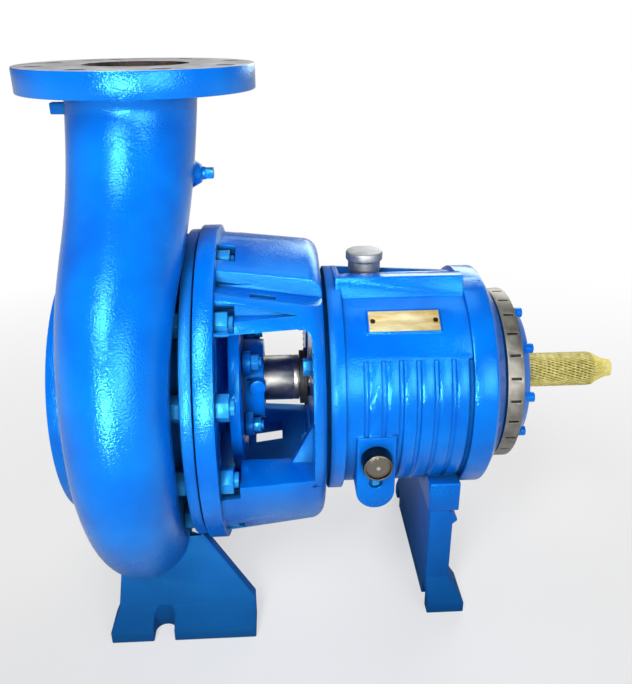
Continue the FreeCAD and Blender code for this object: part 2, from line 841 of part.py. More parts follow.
gland_studs = new_body("gland_studs")
stud = raised(gland_studs, pattern_start(gland_studs, "cover_end_back - gland_stud_depth", "gland_turn",
                                         "gland_ear_circle", "gland_stud_radius"),
              "gland_stud_depth + gland_gasket_thick + gland_ear_thick + gland_nut_height + gland_stud_out")
ringed(gland_studs, [stud], "gland_stud_count")
hex_nuts("gland_nuts", f"{GLAND_FRONT} + gland_ear_thick", "gland_nut_height", "gland_nut_flats",
         "gland_stud_radius + slide_fit", "gland_ear_circle", "gland_turn", "gland_stud_count")

# Mechanical seal: a fixed seat in the gland and a rotating head on the sleeve

ring_body("seal_seat", "seat_ring_front", "seat_ring_back", "seat_ring_bore", "seat_ring_radius")
ring_body("seal_head", "rotary_front", "seat_ring_front - seal_face_gap", "sleeve_radius + slide_fit",
          "rotary_radius")

# Impeller: semi-open, hub and back shroud with curved vanes on the front

impeller = new_body("impeller")
turned(impeller, [
    ("-impeller_nose", "0"),
    ("-impeller_nose", "impeller_nose_radius"),
    ("-impeller_nose / 2", "impeller_hub_radius"),
    ("impeller_shroud_front", "impeller_hub_radius * 1.4"),
    ("impeller_shroud_front", "impeller_radius"),
    ("impeller_shroud_back", "impeller_radius"),
    ("impeller_shroud_back", "0"),
])


def vane_outline():
    """A vane is a strip between two arcs about one centre, closed by two short ends."""
    sketch = new_sketch(impeller, "YZ_Plane", "impeller_shroud_front")
    centre = FreeCAD.Vector(size("vane_centre"), 0, 0)
    ends = [math.radians(-size("vane_root_angle")), math.radians(-size("vane_tip_angle"))]
    arcs = []
    for radius, text in ((size("vane_arc"), "vane_arc"),
                         (size("vane_arc") + size("vane_thick"), "(vane_arc + vane_thick)")):
        ring = Part.Circle(centre, FreeCAD.Vector(0, 0, 1), radius)
        arc = sketch.addGeometry(Part.ArcOfCircle(ring, *ends), False)
        arcs.append(arc)
        for point, angle in ((1, "vane_root_angle"), (2, "vane_tip_angle")):
            place = sketch.getPoint(arc, point)
            fix(sketch, "DistanceX", (arc, point), f"vane_centre + {text} * cos({angle})", place.x)
            fix(sketch, "DistanceY", (arc, point), f"-{text} * sin({angle})", place.y)
        fix(sketch, "Radius", (arc,), text, radius)
    for point in (1, 2):
        near = sketch.getPoint(arcs[0], point)
        far = sketch.getPoint(arcs[1], point)
        line = sketch.addGeometry(Part.LineSegment(near, far), False)
        sketch.addConstraint(Sketcher.Constraint("Coincident", line, 1, arcs[0], point))
        sketch.addConstraint(Sketcher.Constraint("Coincident", line, 2, arcs[1], point))
    return sketch


doc.recompute()
vane = raised(impeller, vane_outline(), "impeller_shroud_front + impeller_nose * 2", backwards=True)
ringed(impeller, [vane], "vane_count")
grooved(impeller, [
    ("-impeller_exit_front", "impeller_radius"),
    ("-impeller_eye_front", "impeller_eye_radius"),
    ("-impeller_eye_front", "impeller_nose_radius"),
    ("-impeller_nose * 3", "impeller_nose_radius"),
    ("-impeller_nose * 3", "impeller_radius * 1.5"),
    ("impeller_shroud_back", "impeller_radius * 1.5"),
    ("impeller_shroud_back", "impeller_radius"),
])
grooved(impeller, [
    ("-impeller_nose / 2", "0"),
    ("-impeller_nose / 2", "nose_thread_radius"),
    ("impeller_shroud_back", "nose_thread_radius"),
    ("impeller_shroud_back", "0"),
])

# Shaft with its sleeve, deflector and coupling key

RADIAL_BACK = "radial_bearing_front + radial_bearing_width"
THRUST_BACK = "thrust_bearing_front + thrust_bearing_width"
NUT_FRONT = f"{THRUST_BACK} + lockwasher_thick"
NUT_BACK = f"{NUT_FRONT} + locknut_width"

shaft = new_body("shaft")
turned(shaft, [
    ("-impeller_nose / 2", "0"),
    ("-impeller_nose / 2", "nose_thread_radius - slide_fit"),
    ("impeller_shroud_back", "nose_thread_radius - slide_fit"),
    ("impeller_shroud_back", "sleeve_bore_radius - slide_fit"),
    ("sleeve_back", "sleeve_bore_radius - slide_fit"),
    ("sleeve_back", "shaft_front_journal"),
    ("radial_bearing_front", "shaft_front_journal"),
    ("radial_bearing_front", "bearing_bore_radius - slide_fit"),
    (RADIAL_BACK, "bearing_bore_radius - slide_fit"),
    (RADIAL_BACK, "shaft_waist_radius"),
    ("thrust_bearing_front", "shaft_waist_radius"),
    ("thrust_bearing_front", "bearing_bore_radius - slide_fit"),
    (NUT_BACK, "bearing_bore_radius - slide_fit"),
    (NUT_BACK, "shaft_rear_journal"),
    ("coupling_start", "shaft_rear_journal"),
    ("coupling_start", "coupling_radius"),
    ("shaft_reach - shaft_end_chamfer", "coupling_radius"),
    ("shaft_reach", "coupling_radius - shaft_end_chamfer"),
    ("shaft_reach", "0"),
])
KEY_SEAT = "coupling_radius - key_height / 2"
keyway = new_sketch(shaft, "XY_Plane", KEY_SEAT)
rectangle(keyway, "shaft_reach - key_length", "shaft_reach", "-key_width / 2", "key_width / 2")
sunk(shaft, keyway, "key_height", backwards=True)

coupling_key = new_body("coupling_key")
key_sketch = new_sketch(coupling_key, "XY_Plane", KEY_SEAT)
rectangle(key_sketch, "shaft_reach - key_length", "shaft_reach - shaft_end_chamfer",
          "slide_fit - key_width / 2", "key_width / 2 - slide_fit")
raised(coupling_key, key_sketch, "key_height")

shaft_sleeve = new_body("shaft_sleeve")
turned(shaft_sleeve, [
    ("impeller_shroud_back", "sleeve_bore_radius"),
    ("impeller_shroud_back", "sleeve_radius"),
    ("sleeve_ring_place", "sleeve_radius"),
    ("sleeve_ring_place", "sleeve_radius - sleeve_groove"),
    ("sleeve_ring_place + sleeve_groove", "sleeve_radius - sleeve_groove"),
    ("sleeve_ring_place + sleeve_groove", "sleeve_radius"),
    ("sleeve_back", "sleeve_radius"),
    ("sleeve_back", "sleeve_bore_radius"),
])

deflector = new_body("deflector")
turned(deflector, [
    ("deflector_front", "shaft_front_journal + slide_fit"),
    ("deflector_front", "deflector_radius - deflector_lip"),
    ("deflector_back - deflector_lip", "deflector_radius - deflector_lip"),
    ("deflector_back - deflector_lip", "deflector_radius"),
    ("deflector_back", "deflector_radius"),
    ("deflector_back", "shaft_front_journal + slide_fit"),
])

# Ball bearings: races, balls and cages as separate pieces

PITCH_RADIUS = "(bearing_bore_radius + bearing_outer_radius) / 2"


def build_race(name, front, width, inner, outer, ball_radius, rows):
    """Race with one ball track for each row, a little wider than the balls."""
    race = ring_body(name, front, f"{front} + {width}", inner, outer)
    for row in rows:
        doc.recompute()
        sketch = new_sketch(race, "XZ_Plane")
        circle(sketch, row, PITCH_RADIUS, f"{ball_radius} + ball_gap")
        track = feature(race, "Groove", sketch)
        track.ReferenceAxis = (sketch, ["H_Axis"])
        track.Angle = 360
        checked_cut(race, track)
    return race


def build_cage(name, ball_radius, count, rows, half_width):
    """Thin ring at the pitch circle with a pocket for each ball."""
    cage = ring_body(name, f"{rows[0]} - {half_width}", f"{rows[-1]} + {half_width}",
                     f"{PITCH_RADIUS} - cage_thick / 2", f"{PITCH_RADIUS} + cage_thick / 2")
    doc.recompute()
    sketch = new_sketch(cage, "XY_Plane")
    for row in rows:
        circle(sketch, row, "0", f"{ball_radius} + ball_gap")
    pocket = sunk(cage, sketch, "bearing_outer_radius", backwards=True)
    ringed(cage, [pocket], count)
    return cage


def build_balls(name, ball_radius, count, rows):
    """Balls stand on the pitch circle, the first one straight above the axis."""
    balls = []
    for row in rows:
        for number in range(int(size(count))):
            angle = f"(360 * {number} / {count})"
            ball = doc.addObject("Part::Sphere", "Ball")
            ball.setExpression("Radius", bound(ball_radius))
            ball.setExpression("Placement.Base.x", bound(row))
            ball.setExpression("Placement.Base.y", bound(f"-{PITCH_RADIUS} * sin({angle})"))
            ball.setExpression("Placement.Base.z", bound(f"shaft_height + {PITCH_RADIUS} * cos({angle})"))
            balls.append(ball)
    group = doc.addObject("Part::Compound", name)
    group.Label = name
    group.Links = balls
    return group


RADIAL_ROWS = ["radial_bearing_front + radial_bearing_width / 2"]
THRUST_MIDDLE = "thrust_bearing_front + thrust_bearing_width / 2"
THRUST_ROWS = [f"{THRUST_MIDDLE} - thrust_row_half_pitch", f"{THRUST_MIDDLE} + thrust_row_half_pitch"]
BEARINGS = (
    ("radial", "radial_bearing_front", "radial_bearing_width", "radial_ball_radius", "radial_ball_count",
     RADIAL_ROWS, "radial_cage_half_width"),
    ("thrust", "thrust_bearing_front", "thrust_bearing_width", "thrust_ball_radius", "thrust_ball_count",
     THRUST_ROWS, "thrust_cage_half_width"),
)
ball_groups = []
for place, front, width, ball_radius, count, rows, half_width in BEARINGS:
    build_race(f"{place}_inner_race", front, width, "bearing_bore_radius", "race_inner_radius", ball_radius, rows)
    build_race(f"{place}_outer_race", front, width, "race_outer_radius", "bearing_outer_radius", ball_radius, rows)
    build_cage(f"{place}_cage", ball_radius, count, rows, half_width)
    ball_groups.append(build_balls(f"{place}_balls", ball_radius, count, rows))

ring_body("lockwasher", THRUST_BACK, NUT_FRONT, "bearing_bore_radius", "lockwasher_radius")

locknut = ring_body("locknut", NUT_FRONT, NUT_BACK, "bearing_bore_radius", "locknut_radius")
doc.recompute()
notch = new_sketch(locknut, "YZ_Plane", NUT_BACK)
rectangle(notch, "locknut_radius - locknut_slot / 2", "locknut_radius + locknut_slot", "-locknut_slot / 2",
          "locknut_slot / 2")
ringed(locknut, [sunk(locknut, notch, "locknut_width")], "locknut_slot_count")

# Adapter: windowed casting that joins the casing to the bearing housing

ADAPTER_WALL_FACE = "adapter_end - adapter_end_wall"
SPIGOT_BORE = "housing_spigot_radius + seat_gap"

adapter = new_body("adapter")
adapter_shell = turned(adapter, [
    ("adapter_front", "adapter_bore_radius"),
    ("adapter_front", "adapter_flange_radius"),
    ("adapter_flange_back", "adapter_flange_radius"),
    ("adapter_flange_back", "adapter_body_front_radius"),
    ("adapter_end", "adapter_body_back_radius"),
    ("adapter_end", "adapter_boss_radius"),
    ("adapter_boss_end", "adapter_boss_radius"),
    ("adapter_boss_end", SPIGOT_BORE),
    (ADAPTER_WALL_FACE, SPIGOT_BORE),
    (ADAPTER_WALL_FACE, "adapter_body_back_radius - adapter_wall"),
    ("adapter_flange_back", "adapter_body_front_radius - adapter_wall"),
    ("adapter_flange_back", "adapter_bore_radius"),
])
rounded(adapter, adapter_shell,
        lambda edge: edge.BoundBox.XLength < 0.001 and abs(edge.BoundBox.XMin - size("adapter_end")) < 0.001
        and edge.BoundBox.ZLength > 2 * size("adapter_boss_radius") + 1, "adapter_corner")


def build_ledges():
    """Web along each shoulder, stepped outside to a sloping ledge, with a hollow below and a slot through it."""
    for side in foot_sides():
        web = new_sketch(adapter, "YZ_Plane", "adapter_flange_back")
        polygon(web, [
            (f"{side}(ledge_root - ledge_web)", "ledge_web_bottom"),
            (f"{side}(ledge_root - ledge_web)", "ledge_web_top"),
            (f"{side}ledge_root", "ledge_web_top - ledge_lip"),
            (f"{side}ledge_web_edge", "ledge_web_bottom + ledge_web - ledge_lip"),
            (f"{side}ledge_web_edge", "ledge_web_bottom"),
        ])
        raised(adapter, web, f"{ADAPTER_WALL_FACE} - adapter_flange_back")
    for side, backwards in (("", True), ("-", False)):
        step = new_sketch(adapter, "XZ_Plane", f"{side}ledge_root")
        polygon(step, [
            ("adapter_flange_back", "ledge_front_height"),
            ("adapter_end", "ledge_back_height"),
            ("adapter_end", "adapter_flange_radius"),
            ("adapter_flange_back", "adapter_flange_radius"),
        ])
        sunk(adapter, step, "adapter_flange_radius", backwards)
        hollow = new_sketch(adapter, "XZ_Plane", f"{side}hollow_floor")
        polygon(hollow, [
            ("adapter_flange_back", "hollow_bottom"),
            ("hollow_back", "hollow_bottom"),
            ("adapter_flange_back", "ledge_front_height - ledge_lip"),
        ])
        sunk(adapter, hollow, "adapter_flange_radius", backwards)
    for side in foot_sides():
        slot = new_sketch(adapter, "XY_Plane", "ledge_front_height")
        rectangle(slot, "slot_front", "slot_back", f"{side}slot_inner", f"{side}slot_outer")
        sunk(adapter, slot, "ledge_front_height - ledge_web_bottom + 1")
    spill = new_sketch(adapter, "XY_Plane", "-far_window_bottom")
    rectangle(spill, "spill_front", "spill_back", "spill_inner", "spill_outer")
    sunk(adapter, spill, "adapter_flange_radius - far_window_bottom")


build_ledges()
pocket = pattern_start(adapter, "nut_pocket_end", "casing_bolt_turn", "casing_bolt_circle", "nut_pocket_radius")
pocket_mouth = new_sketch(adapter, "YZ_Plane", "nut_pocket_end", "casing_bolt_turn")
rectangle(pocket_mouth, "casing_bolt_circle", "adapter_flange_radius", "-nut_pocket_mouth", "nut_pocket_mouth")
pocket_depth = "nut_pocket_end - adapter_flange_back"
ringed(adapter, [sunk(adapter, pocket, pocket_depth), sunk(adapter, pocket_mouth, pocket_depth)],
       "casing_bolt_count")
hole_ring(adapter, "adapter_flange_back", "adapter_flange_back - adapter_front", "casing_bolt_turn",
          "casing_bolt_circle", "casing_bolt_radius + bolt_clearance", "casing_bolt_count")
hole_ring(adapter, "adapter_boss_end", f"adapter_boss_end - ({ADAPTER_WALL_FACE})", "frame_screw_turn",
          "frame_screw_circle", "frame_screw_radius + bolt_clearance", "frame_screw_count")
for backwards, low in ((True, "-window_bottom"), (False, "-far_window_bottom")):
    window = new_sketch(adapter, "XZ_Plane")
    polygon(window, [
        ("adapter_flange_back", low),
        (ADAPTER_WALL_FACE, low),
        (ADAPTER_WALL_FACE, "window_top - window_corner"),
        (f"{ADAPTER_WALL_FACE} - window_corner / 3", "window_top - window_corner / 3"),
        (f"{ADAPTER_WALL_FACE} - window_corner", "window_top"),
        ("adapter_flange_back", "window_top"),
    ])
    sunk(adapter, window, "adapter_flange_radius", backwards)
shelf = new_sketch(adapter, "XY_Plane", "-window_bottom")
rectangle(shelf, "nut_pocket_end", ADAPTER_WALL_FACE,
          "adapter_wall / 2 - adapter_body_back_radius", "shelf_depth - adapter_body_back_radius")
raised(adapter, shelf, "shelf_thick", backwards=True)
doc.recompute()
GUSSET_PLACE = "adapter_body_back_radius - shelf_depth"
gusset = new_sketch(adapter, "XZ_Plane", GUSSET_PLACE)
polygon(gusset, [
    (f"{ADAPTER_WALL_FACE} - gusset_width", "-window_bottom - shelf_thick / 2"),
    (ADAPTER_WALL_FACE, "-window_bottom - shelf_thick / 2"),
    (ADAPTER_WALL_FACE, "gusset_height - window_bottom"),
])
raised(adapter, gusset, "shelf_thick")

# Fasteners of the casing joint and of the housing joint

NUT_FACE = "adapter_flange_back + casing_nut_height"
hex_bolts("casing_bolts", "casing_flange_front - casing_head_height", "casing_head_height",
          "casing_bolt_flats", f"{NUT_FACE} + casing_stud_out", "casing_bolt_radius", "casing_bolt_circle",
          "casing_bolt_turn", "casing_bolt_count")
hex_nuts("casing_nuts", "adapter_flange_back", "casing_nut_height", "casing_bolt_flats",
         "casing_bolt_radius + slide_fit", "casing_bolt_circle", "casing_bolt_turn", "casing_bolt_count")
hex_bolts("frame_screws", f"{ADAPTER_WALL_FACE} - frame_screw_head", "frame_screw_head", "frame_screw_flats",
          "adapter_boss_end + frame_screw_grip", "frame_screw_radius", "frame_screw_circle",
          "frame_screw_turn", "frame_screw_count")

# Bearing housing: ribbed body, rear bell, top crest, sight glass boss and foot lug

CARRIER_BORE = "carrier_body_radius + carrier_thread_gap"
SPIGOT_FRONT = "adapter_boss_end - housing_spigot_length"

bearing_housing = new_body("bearing_housing")
turned(bearing_housing, [
    (SPIGOT_FRONT, "inboard_seal_radius + slide_fit"),
    (SPIGOT_FRONT, "housing_spigot_radius"),
    ("adapter_boss_end", "housing_spigot_radius"),
    ("adapter_boss_end", "housing_flange_radius"),
    ("housing_flange_back", "housing_flange_radius"),
    ("housing_flange_back", "housing_body_radius"),
    ("housing_body_back", "housing_body_radius"),
    ("housing_body_back", "bell_radius"),
    ("bell_back", "bell_radius"),
    ("housing_end", "housing_end_radius"),
    ("housing_end", CARRIER_BORE),
    ("carrier_bore_front", CARRIER_BORE),
    ("carrier_bore_front", "bearing_outer_radius - housing_wall"),
    ("carrier_bore_front - housing_wall", "bearing_outer_radius - housing_wall"),
    ("carrier_bore_front - housing_wall", "housing_body_radius - housing_wall"),
    (f"{RADIAL_BACK} + bearing_float + housing_wall / 2", "housing_body_radius - housing_wall"),
    (f"{RADIAL_BACK} + bearing_float + housing_wall / 2", "bearing_outer_radius + slide_fit"),
    ("radial_bearing_front - bearing_float", "bearing_outer_radius + slide_fit"),
    ("radial_bearing_front - bearing_float", "deflector_radius"),
    ("inboard_seal_back", "deflector_radius"),
    ("inboard_seal_back", "inboard_seal_radius + slide_fit"),
])


def build_ribs():
    """Grooves round the lower side leave the ribs standing between them."""
    doc.recompute()
    gap = bearing_housing.newObject("Sketcher::SketchObject", "RibGap")
    gap.AttachmentSupport = [(origin_of(bearing_housing, "XZ_Plane"), "")]
    gap.MapMode = "FlatFace"
    gap.AttachmentOffset = FreeCAD.Placement(FreeCAD.Vector(), FreeCAD.Rotation(FreeCAD.Vector(1, 0, 0), 1))
    gap.setExpression("AttachmentOffset.Rotation.Angle", bound("90 - rib_top_angle"))
    rectangle(gap, "rib_first", "rib_first + rib_gap", "housing_body_radius - rib_depth",
              "housing_body_radius + rib_depth")
    groove = feature(bearing_housing, "Groove", gap)
    groove.ReferenceAxis = (gap, ["H_Axis"])
    groove.setExpression("Angle", bound("180 + 2 * rib_top_angle"))
    checked_cut(bearing_housing, groove)
    ribs = bearing_housing.newObject("PartDesign::LinearPattern", "Ribs")
    ribs.Originals = [groove]
    ribs.Direction = (origin_of(bearing_housing, "X_Axis"), [""])
    ribs.setExpression("Length", bound("rib_pitch * (rib_count - 1)"))
    ribs.setExpression("Occurrences", bound("rib_count"))
    bearing_housing.Tip = ribs
    doc.recompute()


build_ribs()


def build_housing_outside():
    crest = new_sketch(bearing_housing, "YZ_Plane", "housing_flange_back - housing_wall / 2")
    polygon(crest, [
        ("-crest_foot_half_width", "crest_foot_height - crest_root"),
        ("crest_foot_half_width", "crest_foot_height - crest_root"),
        ("crest_foot_half_width", "crest_foot_height"),
        ("crest_half_width", "crest_height"),
        ("-crest_half_width", "crest_height"),
        ("-crest_foot_half_width", "crest_foot_height"),
    ])
    raised(bearing_housing, crest, "housing_body_back - housing_flange_back + housing_wall / 2")
    trough = new_sketch(bearing_housing, "YZ_Plane", "housing_body_back")
    rectangle(trough, "-trough_half_width", "trough_half_width", "trough_floor", "crest_height + 1")
    sunk(bearing_housing, trough, "housing_body_back - housing_flange_back")
    boss = new_sketch(bearing_housing, "XZ_Plane", "glass_boss_face")
    rectangle(boss, "glass_place - glass_boss_half_width", "glass_place + glass_boss_half_width",
              "glass_boss_half_width - glass_boss_bottom", "-glass_boss_top")
    raised(bearing_housing, boss, "glass_boss_depth", backwards=True)
    toe = new_sketch(bearing_housing, "XZ_Plane", "glass_boss_face")
    circle(toe, "glass_place", "glass_boss_half_width - glass_boss_bottom", "glass_boss_half_width")
    raised(bearing_housing, toe, "glass_boss_depth", backwards=True)
    lug = new_sketch(bearing_housing, "YZ_Plane", "lug_front")
    rectangle(lug, "-lug_half_width", "lug_half_width", "-lug_bottom", "-lug_top")
    raised(bearing_housing, lug, "lug_back - lug_front")


build_housing_outside()


def build_housing_seats():
    """Seats for the glass, the drain plug, the breather, the screws and the foot bolts."""
    seat = new_sketch(bearing_housing, "XZ_Plane", "glass_boss_face")
    circle(seat, "glass_place", "-glass_below_shaft", "glass_radius + slide_fit")
    sunk(bearing_housing, seat, "glass_seat_depth")
    drain = new_sketch(bearing_housing, "XZ_Plane", "glass_boss_face")
    circle(drain, "glass_place", "-drain_below_shaft", "drain_plug_radius + slide_fit")
    sunk(bearing_housing, drain, "drain_plug_depth")
    filler = new_sketch(bearing_housing, "XY_Plane", "trough_floor")
    circle(filler, "breather_place", "0", "breather_spigot_radius + slide_fit")
    sunk(bearing_housing, filler, "breather_spigot_length")
    hole_ring(bearing_housing, "adapter_boss_end", "frame_screw_grip", "frame_screw_turn",
              "frame_screw_circle", "frame_screw_radius + slide_fit", "frame_screw_count", backwards=True)
    for side in ("-", ""):
        tapped = new_sketch(bearing_housing, "XY_Plane", "-lug_bottom")
        circle(tapped, "foot_bolt_along", f"{side}foot_bolt_place", "foot_bolt_radius + slide_fit")
        sunk(bearing_housing, tapped, "foot_bolt_depth", backwards=True)


build_housing_seats()

# Nameplate: thin brass plate held by two drive pins, square to the radius at its middle


def plate_sketch(body, out):
    """Sketch square to the radius at the plate's angle, at a distance from the shaft axis."""
    sketch = body.newObject("Sketcher::SketchObject", f"{body.Name}Sketch")
    sketch.AttachmentSupport = [(origin_of(body, "XY_Plane"), "")]
    sketch.MapMode = "FlatFace"
    sketch.AttachmentOffset = FreeCAD.Placement(FreeCAD.Vector(), FreeCAD.Rotation(FreeCAD.Vector(1, 0, 0), 1))
    sketch.setExpression("AttachmentOffset.Rotation.Angle", bound("90 - plate_angle"))
    sketch.setExpression("AttachmentOffset.Base.y", bound(f"-({out}) * cos(plate_angle)"))
    sketch.setExpression("AttachmentOffset.Base.z", bound(f"({out}) * sin(plate_angle)"))
    return sketch


PLATE_SEAT = "housing_body_radius + plate_pad_lift"
LEFT_END = "plate_place - plate_length / 2"
RIGHT_END = "plate_place + plate_length / 2"
pad_sketch = plate_sketch(bearing_housing, PLATE_SEAT)
rectangle(pad_sketch, f"{LEFT_END} - plate_margin", f"{RIGHT_END} + plate_margin",
          "-plate_width / 2 - plate_margin", "plate_width / 2 + plate_margin")
raised(bearing_housing, pad_sketch, "housing_wall / 2", backwards=True)

nameplate = new_body("nameplate")
blank = plate_sketch(nameplate, PLATE_SEAT)
rectangle(blank, LEFT_END, RIGHT_END, "-plate_width / 2", "plate_width / 2")
for end in ("-", ""):
    circle(blank, f"plate_place + {end}plate_pin_place", "0", "plate_pin_radius + slide_fit")
raised(nameplate, blank, "plate_thick")

plate_pins = new_body("nameplate_pins")
shanks = plate_sketch(plate_pins, PLATE_SEAT)
heads = plate_sketch(plate_pins, f"{PLATE_SEAT} + plate_thick")
for end in ("-", ""):
    circle(shanks, f"plate_place + {end}plate_pin_place", "0", "plate_pin_radius")
    circle(heads, f"plate_place + {end}plate_pin_place", "0", "plate_pin_radius * 1.6")
raised(plate_pins, shanks, "plate_thick")
raised(plate_pins, heads, "plate_thick")

# Breather: dark nipple in the crest and a cap that lifts off it


def upright(body, corners):
    """Solid of revolution about the body's own Z axis: corners are (radius, height)."""
    sketch = new_sketch(body, "XZ_Plane")
    polygon(sketch, corners)
    item = feature(body, "Revolution", sketch)
    item.ReferenceAxis = (sketch, ["V_Axis"])
    item.Angle = 360
    return item


breather_neck = new_body("breather_neck")
breather_neck.setExpression("Placement.Base.x", bound("breather_place"))
upright(breather_neck, [
    ("0", "trough_floor - breather_spigot_length"),
    ("breather_spigot_radius", "trough_floor - breather_spigot_length"),
    ("breather_spigot_radius", "trough_floor"),
    ("breather_neck_radius", "trough_floor"),
    ("breather_neck_radius", "breather_neck_top"),
    ("0", "breather_neck_top"),
])

breather_cap = new_body("breather_cap")
breather_cap.setExpression("Placement.Base.x", bound("breather_place"))
upright(breather_cap, [
    ("0", "breather_neck_top"),
    ("breather_neck_radius", "breather_neck_top"),
    ("breather_body_radius", "breather_neck_top + breather_bevel"),
    ("breather_body_radius", "breather_body_top"),
    ("breather_cap_radius", "breather_body_top + breather_bevel / 2"),
    ("breather_cap_radius", "breather_cap_top - breather_bevel / 2"),
    ("breather_cap_radius - breather_bevel / 2", "breather_cap_top"),
    ("0", "breather_cap_top"),
])

# Sight glass in its boss and the oil drain plug below it


def facing(body, corners):
    """Solid of revolution about an axis towards -Y: corners are (radius, distance from the shaft plane)."""
    sketch = new_sketch(body, "XY_Plane")
    polygon(sketch, [(radius, f"-({out})") for radius, out in corners])
    item = feature(body, "Revolution", sketch)
    item.ReferenceAxis = (sketch, ["V_Axis"])
    item.Angle = 360
    return item


GLASS_SEAT = "glass_boss_face - glass_seat_depth"
GLASS_FRONT = "glass_boss_face + glass_reach"
sight_glass_ring = new_body("sight_glass_ring")
sight_glass_lens = new_body("sight_glass_lens")
for piece in (sight_glass_ring, sight_glass_lens):
    piece.setExpression("Placement.Base.x", bound("glass_place"))
    piece.setExpression("Placement.Base.z", bound("shaft_height - glass_below_shaft"))
facing(sight_glass_ring, [
    ("glass_radius - glass_rim", GLASS_SEAT),
    ("glass_radius", GLASS_SEAT),
    ("glass_radius", f"{GLASS_FRONT} - glass_rim / 2"),
    ("glass_radius - glass_rim / 2", GLASS_FRONT),
    ("glass_radius - glass_rim", GLASS_FRONT),
])
facing(sight_glass_lens, [
    ("0", GLASS_SEAT),
    ("glass_radius - glass_rim - slide_fit", GLASS_SEAT),
    ("glass_radius - glass_rim - slide_fit", f"{GLASS_FRONT} - glass_rim"),
    ("glass_radius / 2", f"{GLASS_FRONT} - glass_rim / 2"),
    ("0", GLASS_FRONT),
])

oil_drain_plug = new_body("oil_drain_plug")
oil_drain_plug.setExpression("Placement.Base.x", bound("glass_place"))
oil_drain_plug.setExpression("Placement.Base.z", bound("shaft_height - drain_below_shaft"))
facing(oil_drain_plug, [
    ("0", "glass_boss_face - drain_plug_depth"),
    ("drain_plug_radius", "glass_boss_face - drain_plug_depth"),
    ("drain_plug_radius", "glass_boss_face - drain_recess"),
    ("0", "glass_boss_face - drain_recess"),
])
square = new_sketch(oil_drain_plug, "XZ_Plane", "glass_boss_face - drain_recess")
rectangle(square, "-drain_plug_square / 2", "drain_plug_square / 2", "-drain_plug_square / 2",
          "drain_plug_square / 2")
raised(oil_drain_plug, square, "drain_recess")

# Gauge plug on the neck of the casing: square-headed pipe plug

gauge_plug = new_body("gauge_plug")
collar = new_sketch(gauge_plug, "YZ_Plane", "gauge_boss_reach")
circle(collar, "0", "gauge_height", "gauge_plug_radius")
raised(gauge_plug, collar, "gauge_plug_collar")
plug_head = new_sketch(gauge_plug, "YZ_Plane", "gauge_boss_reach + gauge_plug_collar")
rectangle(plug_head, "-gauge_plug_square / 2", "gauge_plug_square / 2",
          "gauge_height - gauge_plug_square / 2", "gauge_height + gauge_plug_square / 2")
raised(gauge_plug, plug_head, "gauge_plug_reach - gauge_boss_reach - gauge_plug_collar")

# Oil seals, bearing carrier and its ring, O-ring and end seal

ring_body("inboard_oil_seal", "inboard_seal_front", "inboard_seal_back", "shaft_front_journal + seal_lip_gap",
          "inboard_seal_radius")

CARRIER_FRONT = "thrust_bearing_front - retaining_ring_thick - carrier_step"
bearing_carrier = new_body("bearing_carrier")
turned(bearing_carrier, [
    (CARRIER_FRONT, "bearing_outer_radius + slide_fit"),
    (CARRIER_FRONT, "carrier_body_radius"),
    ("carrier_ring_front", "carrier_body_radius"),
    ("carrier_ring_front", "carrier_ring_radius"),
    ("carrier_ring_back", "carrier_ring_radius"),
    ("carrier_ring_back", "carrier_cone_radius"),
    ("carrier_face", "carrier_face_radius"),
    ("carrier_face", "carrier_seal_bore + slide_fit"),
    ("carrier_face - carrier_seal_width", "carrier_seal_bore + slide_fit"),
    ("carrier_face - carrier_seal_width", "shaft_waist_radius"),
    ("carrier_face - carrier_seal_width - carrier_step", "shaft_waist_radius"),
    ("carrier_face - carrier_seal_width - carrier_step", "bearing_outer_radius - carrier_step"),
    (THRUST_BACK, "bearing_outer_radius - carrier_step"),
    (THRUST_BACK, "bearing_outer_radius + slide_fit"),
])
doc.recompute()
lug_bump = raised(bearing_carrier, pattern_start(bearing_carrier, "carrier_ring_back", "carrier_lug_turn",
                                                 "carrier_lug_circle", "carrier_lug_radius"),
                  "carrier_face + carrier_lug_reach - carrier_ring_back")
ringed(bearing_carrier, [lug_bump], "carrier_lug_count")
doc.recompute()
tooth_gap = new_sketch(bearing_carrier, "YZ_Plane", "carrier_notch_back", "carrier_notch_turn")
rectangle(tooth_gap, "carrier_ring_radius - carrier_notch_depth", "carrier_ring_radius + carrier_notch_depth",
          "-carrier_notch_width / 2", "carrier_notch_width / 2")
ringed(bearing_carrier, [sunk(bearing_carrier, tooth_gap, "carrier_notch_back - carrier_notch_front")],
       "carrier_notch_count")
grooved(bearing_carrier, [
    ("oring_place - oring_thick", "carrier_body_radius - oring_thick * 2"),
    ("oring_place + oring_thick", "carrier_body_radius - oring_thick * 2"),
    ("oring_place + oring_thick", "carrier_body_radius + oring_thick"),
    ("oring_place - oring_thick", "carrier_body_radius + oring_thick"),
])
RING_BACK = "thrust_bearing_front"
RING_FRONT = f"{RING_BACK} - retaining_ring_thick"
RING_GROOVE = "bearing_outer_radius + retaining_ring_bite"
grooved(bearing_carrier, [
    (RING_FRONT, "bearing_outer_radius - carrier_step"),
    (RING_BACK, "bearing_outer_radius - carrier_step"),
    (RING_BACK, RING_GROOVE),
    (RING_FRONT, RING_GROOVE),
])

carrier_o_ring = doc.addObject("Part::Torus", "carrier_o_ring")
carrier_o_ring.Label = "carrier_o_ring"
carrier_o_ring.Placement.Rotation = FreeCAD.Rotation(FreeCAD.Vector(0, 1, 0), 90)
carrier_o_ring.setExpression("Placement.Base.x", bound("oring_place"))
carrier_o_ring.setExpression("Placement.Base.z", bound("shaft_height"))
carrier_o_ring.setExpression("Radius1", bound("carrier_body_radius - oring_thick"))
carrier_o_ring.setExpression("Radius2", bound("oring_thick - slide_fit"))

